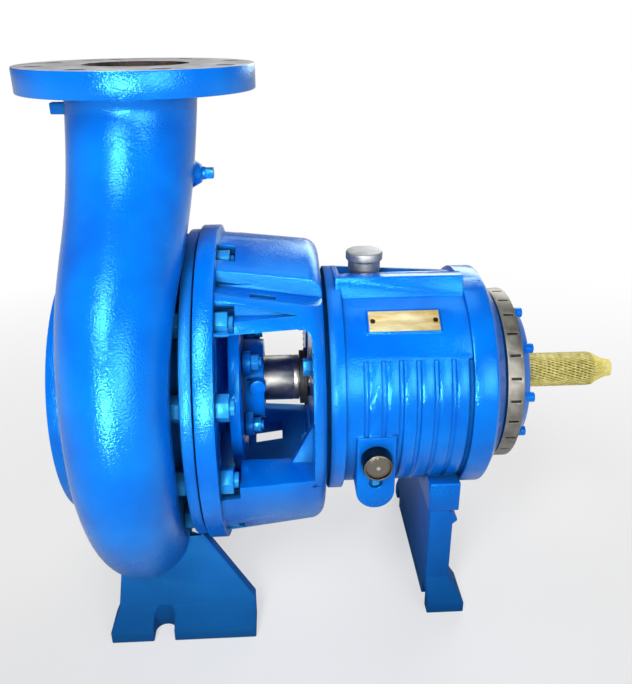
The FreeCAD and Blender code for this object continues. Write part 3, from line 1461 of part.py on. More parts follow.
retaining_ring = new_body("retaining_ring")
turned(retaining_ring, [
    (RING_FRONT, "bearing_outer_radius - retaining_ring_bite * 2"),
    (RING_BACK, "bearing_outer_radius - retaining_ring_bite * 2"),
    (RING_BACK, f"{RING_GROOVE} - slide_fit"),
    (RING_FRONT, f"{RING_GROOVE} - slide_fit"),
])
doc.recompute()
gap_sketch = new_sketch(retaining_ring, "YZ_Plane", RING_BACK)
rectangle(gap_sketch, "0", "bearing_outer_radius * 2", "-retaining_ring_gap / 2", "retaining_ring_gap / 2")
sunk(retaining_ring, gap_sketch, "retaining_ring_thick")

ring_body("outboard_oil_seal", "carrier_face - carrier_seal_width", "carrier_face",
          "shaft_rear_journal + seal_lip_gap", "carrier_seal_bore")

# Rear foot: upright with a web across, two slotted pads and a bolted saddle under the housing lug

rear_foot = new_body("rear_foot")


def build_rear_foot():
    floor = "-shaft_height"
    side_view = new_sketch(rear_foot, "XZ_Plane")
    polygon(side_view, [
        ("rear_foot_front", floor),
        ("rear_foot_back", floor),
        ("rear_foot_back", f"{floor} + rear_pad_thick"),
        ("rear_leg_back", f"{floor} + rear_knee_height"),
        ("rear_leg_back", "-lug_bottom - rear_saddle_height"),
        ("lug_back", "rear_saddle_lip - lug_bottom - rear_saddle_height"),
        ("lug_back", "-lug_bottom - rear_notch_depth"),
        ("rear_notch_front", "-lug_bottom"),
        ("rear_foot_front", "-lug_bottom"),
    ])
    block = raised(rear_foot, side_view, "rear_foot_half_width * 2")
    block.Midplane = True
    for side in ("-", ""):
        flank = new_sketch(rear_foot, "YZ_Plane", "rear_foot_front")
        polygon(flank, [
            (f"{side}rear_foot_half_width", f"{floor} + rear_pad_thick"),
            (f"{side}(rear_foot_half_width + 1)", f"{floor} + rear_pad_thick"),
            (f"{side}(rear_foot_half_width + 1)", "1 - lug_bottom"),
            (f"{side}rear_leg_half_width", "1 - lug_bottom"),
            (f"{side}rear_leg_half_width", f"{floor} + rear_knee_height"),
        ])
        sunk(rear_foot, flank, "rear_foot_back", backwards=True)
    arch = new_sketch(rear_foot, "YZ_Plane", "rear_foot_front + rear_web_thick")
    polygon(arch, [
        ("-rear_pad_inner", floor),
        ("rear_pad_inner", floor),
        ("rear_pad_inner", f"{floor} + rear_knee_height"),
        ("rear_opening_half_width", "-lug_bottom - rear_saddle_height"),
        ("-rear_opening_half_width", "-lug_bottom - rear_saddle_height"),
        ("-rear_pad_inner", f"{floor} + rear_knee_height"),
    ])
    sunk(rear_foot, arch, "rear_foot_back", backwards=True)
    for side in ("-", ""):
        slot_end = new_sketch(rear_foot, "XY_Plane", floor)
        circle(slot_end, "rear_slot_end", f"{side}rear_slot_place", "rear_slot_radius")
        sunk(rear_foot, slot_end, "rear_pad_thick + rear_slot_relief", backwards=True)
        slot_mouth = new_sketch(rear_foot, "XY_Plane", floor)
        rectangle(slot_mouth, "rear_foot_front - 1", "rear_slot_end",
                  f"{side}rear_slot_place - rear_slot_radius", f"{side}rear_slot_place + rear_slot_radius")
        sunk(rear_foot, slot_mouth, "rear_pad_thick + rear_slot_relief", backwards=True)
        bolt_hole = new_sketch(rear_foot, "XY_Plane", "-lug_bottom")
        circle(bolt_hole, "foot_bolt_along", f"{side}foot_bolt_place", "foot_bolt_radius + bolt_clearance")
        sunk(rear_foot, bolt_hole, "rear_saddle_height")
        recess = new_sketch(rear_foot, "XY_Plane", "-lug_bottom - rear_saddle_height")
        rectangle(recess, "foot_bolt_along - foot_bolt_flats * 0.7", "rear_foot_back",
                  f"{side}foot_bolt_place - foot_bolt_flats * 0.7", f"{side}foot_bolt_place + foot_bolt_flats * 0.7")
        sunk(rear_foot, recess, "foot_bolt_head + bolt_clearance * 2")


build_rear_foot()

foot_bolts = new_body("foot_bolts")
for side in ("-", ""):
    bolt_head = new_sketch(foot_bolts, "XY_Plane", "-lug_bottom - rear_saddle_height - foot_bolt_head")
    corners = []
    for corner in range(6):
        reach = "foot_bolt_flats / sqrt(3)"
        corners.append((f"foot_bolt_along + {reach} * cos({60 * corner})",
                        f"{side}foot_bolt_place + {reach} * sin({60 * corner})"))
    polygon(bolt_head, corners)
    raised(foot_bolts, bolt_head, "foot_bolt_head")
    bolt_shank = new_sketch(foot_bolts, "XY_Plane", "-lug_bottom - rear_saddle_height")
    circle(bolt_shank, "foot_bolt_along", f"{side}foot_bolt_place", "foot_bolt_radius")
    raised(foot_bolts, bolt_shank, "rear_saddle_height + foot_bolt_depth")

# Net sleeve that protects the bare shaft end, gathered to a tail beyond it

shaft_net = new_body("shaft_net")
turned(shaft_net, [
    ("net_start", "net_bore_radius"),
    ("net_start", "net_radius"),
    ("shaft_reach", "net_radius"),
    ("net_tail_reach", "net_tail_radius"),
    ("net_tail_reach", "0"),
    ("shaft_reach + running_gap", "0"),
    ("shaft_reach + running_gap", "net_bore_radius"),
])

# Check every feature, then write each piece to its own file

doc.recompute()
for item in doc.Objects:
    if "Invalid" in item.State or "Error" in item.State:
        raise RuntimeError(f"{item.Name} did not build: {item.State}")

pieces = [item for item in doc.Objects if item.TypeId == "PartDesign::Body"]
pieces += ball_groups + [carrier_o_ring]
for piece in pieces:
    shape = piece.Shape
    if shape.isNull() or not shape.isValid():
        raise RuntimeError(f"{piece.Label} has no valid shape")
    shape.exportStep(f"parts/{piece.Label}.step")
    print(piece.Label, len(shape.Solids), round(shape.Volume))
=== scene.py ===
import math
import bpy
from mathutils import Matrix, Vector


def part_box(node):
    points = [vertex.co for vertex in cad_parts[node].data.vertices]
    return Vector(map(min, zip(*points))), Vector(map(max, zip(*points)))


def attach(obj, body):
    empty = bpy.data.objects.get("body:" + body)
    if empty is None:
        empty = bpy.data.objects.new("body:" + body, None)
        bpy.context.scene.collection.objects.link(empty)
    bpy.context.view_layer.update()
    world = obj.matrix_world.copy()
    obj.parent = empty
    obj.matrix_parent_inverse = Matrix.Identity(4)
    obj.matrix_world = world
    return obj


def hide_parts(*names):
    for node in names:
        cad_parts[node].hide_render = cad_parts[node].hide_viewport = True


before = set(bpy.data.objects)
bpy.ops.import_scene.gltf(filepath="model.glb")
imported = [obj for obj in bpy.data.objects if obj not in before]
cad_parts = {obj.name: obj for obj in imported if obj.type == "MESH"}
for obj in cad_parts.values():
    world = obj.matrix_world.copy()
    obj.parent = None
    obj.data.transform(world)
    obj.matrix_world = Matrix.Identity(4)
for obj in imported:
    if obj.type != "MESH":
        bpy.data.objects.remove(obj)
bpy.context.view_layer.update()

# Casing: one sand casting in iron with the scroll, the swan-necked outlet, two flanges and two feet.
# It is sprayed all over with thick gloss enamel, which softens every edge but lets the grain of the
# mould show. The two flange faces are turned bare, and the passages and bolt holes are dark raw iron.

SHAFT_HEIGHT = 0.254
OUTLET_FACE = SHAFT_HEIGHT + 0.3429
OUTLET_FLANGE_THICK = 0.0238
OUTLET_CIRCLE = 0.09525
OUTLET_HOLE = 0.0095
OUTLET_BORE = 0.0508
INLET_FACE = -0.095
INLET_FLANGE_THICK = 0.0254
INLET_CIRCLE = 0.12065
INLET_HOLE = 0.0111
INLET_BORE = 0.0762
FLANGE_HOLES = 8
SHOWN_DEPTH = 0.12
FACE_DEPTH = 0.0004
HOLE_RIM = 0.0013
SQUARE_TO_AXIS = 0.9
BESIDE_AXIS = 0.5


def linear(text):
    """An sRGB hex colour as the linear values that a shader takes."""
    parts = [int(text[place:place + 2], 16) / 255 for place in (1, 3, 5)]
    return [part / 12.92 if part <= 0.04045 else ((part + 0.055) / 1.055) ** 2.4 for part in parts] + [1.0]


def add(material, kind, inputs=None, **settings):
    """One node, with its settings, and each input either a value or a link."""
    tree = material.node_tree
    made = tree.nodes.new(kind)
    for name, value in settings.items():
        setattr(made, name, value)
    for name, value in (inputs or {}).items():
        if isinstance(value, bpy.types.NodeSocket):
            tree.links.new(value, made.inputs[name])
        else:
            made.inputs[name].default_value = value
    return made


def new_material(name):
    """An empty node material."""
    material = bpy.data.materials.new(name)
    material.use_nodes = True
    material.node_tree.nodes.clear()
    return material


def finish_material(material, inputs):
    """The surface shader and the output that every finish ends in."""
    shader = add(material, "ShaderNodeBsdfPrincipled", inputs)
    add(material, "ShaderNodeOutputMaterial", {"Surface": shader.outputs["BSDF"]})
    return material


def object_place(material):
    """The place on the piece, in metres, which every pattern here follows."""
    return add(material, "ShaderNodeTexCoord").outputs["Object"]


def grain(material, place, millimetres, detail=2.0, roughness=0.5):
    """Noise whose lumps are about that many millimetres across."""
    noise = add(material, "ShaderNodeTexNoise", {
        "Vector": place, "Scale": 1000 / millimetres, "Detail": detail, "Roughness": roughness})
    return noise.outputs["Fac"]


def relief(material, height, millimetres, under=None):
    """Bump of that height; under is the relief below it."""
    inputs = {"Height": height, "Distance": millimetres / 1000, "Strength": 1.0}
    if under:
        inputs["Normal"] = under
    return add(material, "ShaderNodeBump", inputs).outputs["Normal"]


def spread(material, value, low, high, start=0.3, end=0.7):
    """Stretches part of a value's range onto low to high."""
    return add(material, "ShaderNodeMapRange", {
        "Value": value, "From Min": start, "From Max": end, "To Min": low, "To Max": high}).outputs["Result"]


def tint(material, factor, first, second):
    """Blends two colours, each a value or a link."""
    mix = add(material, "ShaderNodeMix", {"Factor": factor}, data_type="RGBA")
    for socket, colour in ((mix.inputs[6], first), (mix.inputs[7], second)):
        if isinstance(colour, bpy.types.NodeSocket):
            material.node_tree.links.new(colour, socket)
        else:
            socket.default_value = colour
    return mix.outputs[2]


CORNER_REACH = 0.022
FLOOR_SHADE_HEIGHT = 0.2


def enamel(name, grit, height, ior, shade="#0064DA", light="#007AEE"):
    """Gloss enamel over iron: grit is the mould's grain and height how far the paint follows it, in mm.
    The grain breaks every highlight into a speckle and slow sags in the paint bend its edges. Painted
    shade darkens the corners and what stands near the floor, and the same mask dulls them."""
    material = new_material(name)
    place = object_place(material)
    unshaded = tint(material, spread(material, grain(material, place, 55), 0, 1), linear(shade), linear(light))
    # Painted shade: darker in corners, as ambient occlusion finds them, and darker towards the floor.
    corner = add(material, "ShaderNodeAmbientOcclusion", {"Distance": CORNER_REACH}, samples=8).outputs["AO"]
    above_floor = add(material, "ShaderNodeSeparateXYZ", {"Vector": place}).outputs["Z"]
    painted_shade = add(material, "ShaderNodeMath", {
        0: spread(material, corner, 0.85, 0, 0.3, 0.9),
        1: spread(material, above_floor, 0.8, 0, 0, FLOOR_SHADE_HEIGHT)}, operation="MAXIMUM").outputs[0]
    colour = tint(material, painted_shade, unshaded, linear("#03285E"))
    peel = grain(material, place, grit, 2.0, 0.55)
    sag = grain(material, place, 16)
    dulled = add(material, "ShaderNodeMath", {0: spread(material, peel, 0.07, 0.16), 1: painted_shade})
    return finish_material(material, {
        "Base Color": colour, "Roughness": dulled.outputs[0], "IOR": ior,
        "Specular IOR Level": 1.0, "Specular Tint": linear("#60E4FF"),
        "Normal": relief(material, peel, height, relief(material, sag, 0.3))})


FACING_WAVES = 110


def faced_iron(name, dark, light, centre, turn):
    """Iron turned on the lathe: rings of cutter marks, 3 mm apart round the flange's centre, dulled by
    storage grease."""
    material = new_material(name)
    place = object_place(material)
    centred = add(material, "ShaderNodeMapping", {"Vector": place, "Location": [-part for part in centre]})
    marks = add(material, "ShaderNodeTexWave", {
        "Vector": centred.outputs["Vector"], "Scale": FACING_WAVES, "Distortion": 0.3},
        wave_type="RINGS", rings_direction=turn)
    stain = grain(material, place, 22, 4.0, 0.65)
    return finish_material(material, {
        "Base Color": tint(material, spread(material, stain, 0, 1), linear(dark), linear(light)),
        "Metallic": 0.35, "Roughness": spread(material, stain, 0.36, 0.52),
        "Normal": relief(material, marks.outputs["Fac"], 0.05)})


def raw_iron(name, dark, light):
    """Unpainted cast iron: dark, matt and pitted, with a bloom of rust in places."""
    material = new_material(name)
    place = object_place(material)
    pits = grain(material, place, 2.2, 4.0, 0.6)
    bloom = grain(material, place, 17, 3.0)
    return finish_material(material, {
        "Base Color": tint(material, spread(material, bloom, 0, 1, 0.4, 0.65), linear(dark), linear(light)),
        "Metallic": 0.4, "Roughness": spread(material, pits, 0.55, 0.8),
        "Normal": relief(material, pits, 0.15)})


SAME_PLACE = 0.00001
FLAT_ENOUGH = math.radians(0.2)
SHARP_EDGE = math.radians(32)


def dressed(node, body, name, materials, edge, reshape=None):
    """The finished skin of a CAD node: the same form with its edges rounded, by edge in mm, and its curves
    smooth. reshape works on the rounded form."""
    piece = bpy.data.objects.new(name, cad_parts[node].data.copy())
    bpy.context.scene.collection.objects.link(piece)
    bpy.ops.object.select_all(action="DESELECT")
    piece.select_set(True)
    bpy.context.view_layer.objects.active = piece
    bpy.ops.object.mode_set(mode="EDIT")
    bpy.ops.mesh.select_all(action="SELECT")
    bpy.ops.mesh.remove_doubles(threshold=SAME_PLACE)
    bpy.ops.mesh.dissolve_limited(angle_limit=FLAT_ENOUGH)
    bpy.ops.object.mode_set(mode="OBJECT")
    rounding = piece.modifiers.new("rounding", "BEVEL")
    rounding.width = edge / 1000
    rounding.segments = 2
    rounding.limit_method = "ANGLE"
    rounding.angle_limit = SHARP_EDGE
    rounding.use_clamp_overlap = False
    bpy.ops.object.modifier_apply(modifier="rounding")
    if reshape:
        reshape(piece)
    bpy.ops.object.shade_smooth_by_angle(angle=SHARP_EDGE)
    piece.data.materials.clear()
    for material in materials:
        piece.data.materials.append(material)
    for face in piece.data.polygons:
        face.material_index = 0
    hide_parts(node)
    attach(piece, body)
    return piece


def other_finish(piece, index, wanted):
    """Gives another of the piece's materials to the faces that pass a test on their middle and normal."""
    for face in piece.data.polygons:
        if face.material_index == 0 and wanted(face.center, face.normal):
            face.material_index = index


def in_flange_hole(across, along, circle, radius):
    """True near the axis of one of a flange's bolt holes, which straddle its centre lines."""
    step = 2 * math.pi / FLANGE_HOLES
    angle = step / 2 + step * round((math.atan2(along, across) - step / 2) / step)
    from_axis = math.hypot(across - circle * math.cos(angle), along - circle * math.sin(angle))
    return from_axis < radius + HOLE_RIM


cast_enamel = enamel("gloss_enamel_on_sand_cast_iron", 1.8, 0.42, 1.68)
outlet_iron = faced_iron("faced_outlet_flange", "#C0C2C6", "#EEEEF0", (0, 0, OUTLET_FACE), "Z")
inlet_iron = faced_iron("faced_inlet_flange", "#C0C2C6", "#EEEEF0", (INLET_FACE, 0, SHAFT_HEIGHT), "X")
passage_iron = raw_iron("raw_cast_iron", "#2B2A2A", "#5A4A40")
casing = dressed("casing", "pump_frame", "casing_painted",
                 [cast_enamel, outlet_iron, inlet_iron, passage_iron], edge=1.2)
other_finish(casing, 1, lambda place, normal: place.z > OUTLET_FACE - FACE_DEPTH
             and normal.z > SQUARE_TO_AXIS)
other_finish(casing, 2, lambda place, normal: abs(place.x - INLET_FACE) < FACE_DEPTH
             and normal.x < -SQUARE_TO_AXIS)
other_finish(casing, 3, lambda place, normal: place.z > OUTLET_FACE - SHOWN_DEPTH
             and math.hypot(place.x, place.y) < OUTLET_BORE + HOLE_RIM
             and normal.x * place.x + normal.y * place.y < 0)
other_finish(casing, 3, lambda place, normal: place.x < INLET_FACE + SHOWN_DEPTH
             and math.hypot(place.y, place.z - SHAFT_HEIGHT) < INLET_BORE + HOLE_RIM
             and normal.y * place.y + normal.z * (place.z - SHAFT_HEIGHT) < 0)
other_finish(casing, 3, lambda place, normal: place.z > OUTLET_FACE - OUTLET_FLANGE_THICK
             and abs(normal.z) < BESIDE_AXIS
             and in_flange_hole(place.x, place.y, OUTLET_CIRCLE, OUTLET_HOLE))
other_finish(casing, 3, lambda place, normal: place.x < INLET_FACE + INLET_FLANGE_THICK
             and abs(normal.x) < BESIDE_AXIS
             and in_flange_hole(place.y, place.z - SHAFT_HEIGHT, INLET_CIRCLE, INLET_HOLE))

# Gauge plug: a square-headed iron plug, screwed into the boss on the neck where a gauge can go. It was
# sprayed with the casing.

dressed("gauge_plug", "pump_frame", "gauge_plug_painted", [cast_enamel], edge=0.6)

# Adapter: a windowed iron bell that ties the casing to the bearing housing. It is cast and painted like
# the casing, inside as well as out, and clamps the rear cover between them.

dressed("adapter", "pump_frame", "adapter_painted", [cast_enamel], edge=0.9)

# Casing bolts and nuts: forged steel hexagons that hold adapter and casing together. They have no grain
# of a mould, so the enamel lies smoother on them and catches the lamps. Their paler blue is a painted
# highlight.

# A paler blue than the castings' enamel: a painted highlight on the bolts, nuts, studs and screws.
bolt_enamel = enamel("gloss_enamel_on_forged_steel", 1.8, 0.12, 1.6, "#1488EA", "#34A6F6")
dressed("casing_bolts", "pump_frame", "casing_bolts_painted", [bolt_enamel], edge=0.6)
dressed("casing_nuts", "pump_frame", "casing_nuts_painted", [bolt_enamel], edge=0.6)

# Rear cover and gland: finer castings behind the windows, painted before the seal went in. Four studs
# with nuts hold the gland.

fine_enamel = enamel("gloss_enamel_on_fine_cast_iron", 1.8, 0.26, 1.5)
dressed("rear_cover", "pump_frame", "rear_cover_painted", [fine_enamel], edge=1.0)
dressed("gland", "pump_frame", "gland_painted", [fine_enamel], edge=1.0)
dressed("gland_studs", "pump_frame", "gland_studs_painted", [bolt_enamel], edge=0.4)
dressed("gland_nuts", "pump_frame", "gland_nuts_painted", [bolt_enamel], edge=0.5)

# Shaft sleeve: stainless steel, slipped over the shaft and ground fine where the seal runs. It shows
# the window as a soft white band and the painted walls as dark ones.

GRINDING_WAVES = 160


def ground_metal(name, dark, light, roughness, axis, pitch=1.2):
    """Bare metal off the grinder or the lathe: a satin broken by rings of marks about the axis. At pitch 1
    they are 2 mm apart, coarser than real ones, so that they show."""
    material = new_material(name)
    place = object_place(material)
    marks = add(material, "ShaderNodeTexWave", {
        "Vector": place, "Scale": GRINDING_WAVES / pitch, "Distortion": 0.6, "Detail": 2.0},
        wave_type="BANDS", bands_direction=axis)
    stain = grain(material, place, 14, 4.0, 0.65)
    return finish_material(material, {
        "Base Color": tint(material, spread(material, stain, 0, 1, 0.35, 0.7), linear(dark), linear(light)),
        "Metallic": 1.0, "Roughness": spread(material, stain, roughness, roughness + 0.12),
        "Normal": relief(material, marks.outputs["Fac"], 0.02)})


sleeve_steel = ground_metal("ground_stainless_steel", "#A3A099", "#CAC7BF", 0.3, "X")
dressed("shaft_sleeve", "rotor", "shaft_sleeve_ground", [sleeve_steel], edge=0.3)

# Shaft: carbon steel, turned and then ground at its seats, with a keyway for the coupling. Its bare
# parts shine under a film of preserving oil.

shaft_steel = ground_metal("ground_carbon_steel", "#858583", "#B4B4B0", 0.22, "X", 1.0)
dressed("shaft", "rotor", "shaft_ground", [shaft_steel], edge=0.3)

# Deflector: a moulded rubber disc, pushed onto the shaft in front of the bearing housing. It turns with
# the shaft and throws water off before the oil seal.


def moulded_rubber(name, dark, light):
    """Nitrile rubber: black, matt and faintly pitted, paler where it was handled."""
    material = new_material(name)
    place = object_place(material)
    pits = grain(material, place, 1.2)
    handled = spread(material, grain(material, place, 15), 0, 1)
    return finish_material(material, {
        "Base Color": tint(material, handled, linear(dark), linear(light)),
        "Roughness": spread(material, pits, 0.45, 0.65), "Normal": relief(material, pits, 0.03)})


seal_rubber = moulded_rubber("moulded_nitrile_rubber", "#121213", "#29292A")
dressed("deflector", "rotor", "deflector_moulded", [seal_rubber], edge=0.6)

# Bearing housing: a ribbed iron casting with a front flange, a rear bell, the sight-glass boss and a
# raised edge along the near side of its crest. Behind that edge the top falls away round the body.

HOUSING_FLANGE_BACK = 0.1963
HOUSING_FLANGE_RADIUS = 0.128
HOUSING_BODY_BACK = 0.3259
HOUSING_BODY_RADIUS = 0.1206
BELL_RADIUS = 0.1253
BELL_STRIP = 0.002
CREST_LOWEST = 0.1
TROUGH_EDGE = 0.021
SAME_CORNER = 0.00002


def lower_far_crest(piece):
    """Brings the far half of the crest down to the flange, the body and the bell that it stands on."""
    for vertex in piece.data.vertices:
        along, across, height = vertex.co.x, vertex.co.y, vertex.co.z - SHAFT_HEIGHT
        if along < HOUSING_FLANGE_BACK:
            radius = HOUSING_FLANGE_RADIUS
        elif along < HOUSING_BODY_BACK:
            radius = HOUSING_BODY_RADIUS
        elif along < HOUSING_BODY_BACK + BELL_STRIP:
            radius = BELL_RADIUS
        else:
            continue
        if across > TROUGH_EDGE and height > CREST_LOWEST and math.hypot(across, height) > radius:
            vertex.co.z = SHAFT_HEIGHT + math.sqrt(radius ** 2 - across ** 2)
    bpy.ops.object.mode_set(mode="EDIT")
    bpy.ops.mesh.select_all(action="SELECT")
    bpy.ops.mesh.remove_doubles(threshold=SAME_CORNER)
    bpy.ops.mesh.dissolve_degenerate(threshold=SAME_CORNER)
    bpy.ops.object.mode_set(mode="OBJECT")


dressed("bearing_housing", "pump_frame", "bearing_housing_painted", [fine_enamel],
        edge=1.2, reshape=lower_far_crest)
dressed("frame_screws", "pump_frame", "frame_screws_painted", [bolt_enamel], edge=0.5)
dressed("oil_drain_plug", "pump_frame", "oil_drain_plug_painted", [bolt_enamel], edge=0.5)

# Nameplate: thin rolled brass on two steel drive pins, left blank. It is paler on its left half and grows
# browner towards its right end.

PLATE_LOW, PLATE_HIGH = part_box("nameplate")
PLATE_MIDDLE = (PLATE_LOW.x + PLATE_HIGH.x) / 2
BRUSHED_LENGTH = 4


def wiped_brass(name):
    """Rolled brass: brushed along its length, with uneven tarnish in soft streaks."""
    material = new_material(name)
    place = object_place(material)
    streaked = add(material, "ShaderNodeMapping", {
        "Vector": place, "Scale": (1 / BRUSHED_LENGTH, 1, 1)}).outputs["Vector"]
    brushing = grain(material, streaked, 1.0, 3.0, 0.6)
    tarnish = grain(material, streaked, 9, 3.0, 0.6)
    along = add(material, "ShaderNodeSeparateXYZ", {"Vector": place}).outputs["X"]
    # Browner towards the plate's right end.
    right_end = spread(material, along, 0, 0.45, PLATE_MIDDLE, PLATE_HIGH.x)
    browned = add(material, "ShaderNodeMath", {0: spread(material, tarnish, -0.2, 0.8), 1: right_end})
    return finish_material(material, {
        "Base Color": tint(material, browned.outputs[0], linear("#FFF4C4"), linear("#D0AC50")),
        "Metallic": 0.5, "Roughness": spread(material, brushing, 0.3, 0.42),
        "Normal": relief(material, brushing, 0.02)})


plate_brass = wiped_brass("rolled_brass_plate")
dressed("nameplate", "pump_frame", "nameplate_blank", [plate_brass], edge=0.15)

# Breather: a grey zinc-plated cap, pressed from sheet and rolled over at its lip. It lifts off the
# blackened steel neck, which is screwed into the housing.

cap_steel = ground_metal("zinc_plated_steel", "#A2A4A6", "#CACCCD", 0.5, "Z", 1.5)
black_steel = ground_metal("blackened_steel", "#16181A", "#34383B", 0.35, "Z", 1.5)
dressed("breather_cap", "vent_cap", "breather_cap_plated", [cap_steel], edge=0.9)
dressed("breather_neck", "pump_frame", "breather_neck_black", [black_steel], edge=0.5)

# Sight glass: a steel ring that stands out of its boss and holds a thick lens. Behind the lens lie the
# oil and a pressed reflector with rays round a pale centre, which is a painted highlight.

RING_LOW, RING_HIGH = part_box("sight_glass_ring")
GLASS_CENTRE = ((RING_LOW.x + RING_HIGH.x) / 2, 0, (RING_LOW.z + RING_HIGH.z) / 2)
RING_LIP = 0.0006
REFLECTOR_RAYS = 26
HIGHLIGHT_RADIUS = 0.0014
HIGHLIGHT_EDGE = 0.0026


def rayed_glass(name):
    """Glass over the reflector: brown rays round a pale centre that is a painted highlight, under a clear
    hard gloss.
    """
    material = new_material(name)
    place = object_place(material)
    facing = add(material, "ShaderNodeMapping", {
        "Vector": place, "Location": (-GLASS_CENTRE[0], GLASS_CENTRE[2], 0), "Rotation": (math.pi / 2, 0, 0)})
    round_about = add(material, "ShaderNodeTexGradient", {
        "Vector": facing.outputs["Vector"]}, gradient_type="RADIAL")
    turns = add(material, "ShaderNodeMath", {
        0: round_about.outputs["Fac"], 1: REFLECTOR_RAYS}, operation="MULTIPLY")
    rays = add(material, "ShaderNodeMath", {0: turns.outputs[0], 1: 0.5}, operation="PINGPONG").outputs[0]
    flat = add(material, "ShaderNodeVectorMath", {
        0: facing.outputs["Vector"], 1: (1, 1, 0)}, operation="MULTIPLY")
    outward = add(material, "ShaderNodeVectorMath", {0: flat.outputs["Vector"]}, operation="LENGTH")
    # A pale spot at the lens's centre: a painted highlight.
    centre_highlight = spread(material, outward.outputs["Value"], 1, 0, HIGHLIGHT_RADIUS, HIGHLIGHT_EDGE)
    rayed = tint(material, spread(material, rays, 0, 1, 0.1, 0.4), linear("#46423A"), linear("#6E6858"))
    return finish_material(material, {
        "Base Color": tint(material, centre_highlight, rayed, linear("#C8C6BA")), "Roughness": 0.12,
        "Coat Weight": 1.0, "Coat Roughness": 0.04, "Normal": relief(material, rays, 0.3)})


ring_rim = ground_metal("bare_ring_lip_steel", "#5E5C55", "#8E8A80", 0.3, "Y", 1.5)
# The ring's sides are blackened steel, which also serves as painted shade on the ring's top; its front lip is
# bare grey steel.
glass_ring = dressed("sight_glass_ring", "pump_frame", "sight_glass_ring_black",
                     [black_steel, ring_rim], edge=0.6)
other_finish(glass_ring, 1, lambda place, normal: place.y < RING_LOW.y + RING_LIP
             and normal.y < -BESIDE_AXIS)
dressed("sight_glass_lens", "pump_frame", "sight_glass_lens_moulded",
        [rayed_glass("moulded_sight_glass")], edge=0.5)

# Bearing carrier: the threaded end piece that sets the rotor's place. Its cone and lugs are painted; its
# rim is left bare, dull turned iron with milled notches whose floors are coloured near black.

RIM_FRONT = 0.3686
RIM_BACK = 0.3862
RIM_RADIUS = 0.098
RIM_FOOT = 0.0895
NOTCH_INSET = 0.002
NOTCH_SKIN = 0.0008

rim_iron = ground_metal("turned_grey_iron", "#838079", "#A8A59B", 0.45, "X", 2.0)
notch_black = moulded_rubber("near_black_notch_floors", "#0D0D0E", "#1F1E1C")
carrier = dressed("bearing_carrier", "carrier", "bearing_carrier_painted",
                  [fine_enamel, rim_iron, notch_black], edge=0.5)


def from_shaft(place):
    """How far a place is from the shaft's axis."""
    return math.hypot(place.y, place.z - SHAFT_HEIGHT)


# The notch floors are coloured near black.
other_finish(carrier, 2, lambda place, normal: RIM_FRONT + NOTCH_INSET < place.x < RIM_BACK - NOTCH_INSET
             and RIM_FOOT < from_shaft(place) < RIM_RADIUS - NOTCH_SKIN)
other_finish(carrier, 1, lambda place, normal: RIM_FRONT < place.x < RIM_BACK
             and from_shaft(place) > RIM_FOOT)

# Rear foot: a cast iron leg under the bearing housing, on two slotted pads. Two bolts from below hold it,
# and all three are painted with the housing.

dressed("rear_foot", "pump_frame", "rear_foot_painted", [fine_enamel], edge=1.2)
dressed("foot_bolts", "pump_frame", "foot_bolts_painted", [bolt_enamel], edge=0.5)

# Inner pieces keep their CAD form, each with its own finish. First the impeller: cast iron, bare and
# dark, with its vanes seen through the inlet.


def finish_inner(nodes, material):
    """Gives one material to the CAD nodes themselves."""
    for node in nodes:
        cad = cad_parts[node]
        cad.data.materials.clear()
        cad.data.materials.append(material)


finish_inner(["impeller"], raw_iron("sand_cast_impeller_iron", "#3A3837", "#66574C"))

# Gaskets: rings of pressed fibre sheet, cut to the joints of the casing and the gland and trapped in
# them by the bolts.


def pressed_fibre(name, dark, light):
    """Compressed fibre: dusty grey-green with fine crossing hairs."""
    material = new_material(name)
    place = object_place(material)
    hairs = grain(material, place, 1.5, 5.0, 0.7)
    return finish_material(material, {
        "Base Color": tint(material, spread(material, hairs, 0, 1), linear(dark), linear(light)),
        "Roughness": spread(material, hairs, 0.75, 0.9), "Normal": relief(material, hairs, 0.05)})


finish_inner(["casing_gasket", "gland_gasket"], pressed_fibre("pressed_fibre_sheet", "#3E4640", "#5C665E"))

# Mechanical seal and throat: a lapped ceramic seat in the gland, a stainless head that turns on the
# sleeve against it, and a turned bronze bushing behind the impeller.


def lapped_ceramic(name, dark, light):
    """Alumina: ivory white, with a lapped face that shines softly."""
    material = new_material(name)
    place = object_place(material)
    cloud = grain(material, place, 8)
    return finish_material(material, {
        "Base Color": tint(material, spread(material, cloud, 0, 1), linear(dark), linear(light)),
        "Roughness": spread(material, cloud, 0.18, 0.3), "Normal": relief(material, cloud, 0.01)})


finish_inner(["seal_seat"], lapped_ceramic("lapped_alumina", "#D8D2C2", "#EEEADF"))
finish_inner(["seal_head"], sleeve_steel)
finish_inner(["throat_bushing"], ground_metal("turned_bronze", "#8A5F32", "#B98A52", 0.28, "X", 1.5))

# Bearings: hardened and polished steel races and balls, in pressed brass cages. The inner races are
# pressed onto the shaft, and the outer ones sit in the housing and in the carrier.

race_steel = ground_metal("polished_bearing_steel", "#9A9B9C", "#CFD0D0", 0.12, "X", 0.9)
finish_inner(["radial_inner_race", "radial_outer_race", "thrust_inner_race", "thrust_outer_race",
              "radial_balls", "thrust_balls"], race_steel)
cage_brass = ground_metal("pressed_brass", "#9C7A34", "#CDAA5C", 0.3, "X", 1.5)
finish_inner(["radial_cage", "thrust_cage"], cage_brass)

# Shaft fittings: the coupling key, the locknut with its tabbed washer, the retaining ring and the
# plate's drive pins are plain steel.

finish_inner(["coupling_key", "lockwasher", "locknut", "retaining_ring"], shaft_steel)
finish_inner(["nameplate_pins"], ground_metal("browned_pin_steel", "#3C342A", "#6A5F4C", 0.35, "X", 1.0))

# Oil seals and the carrier's ring: moulded nitrile rubber. The seals are pressed in at both ends of the
# oil space, and the ring lies in its groove round the carrier.

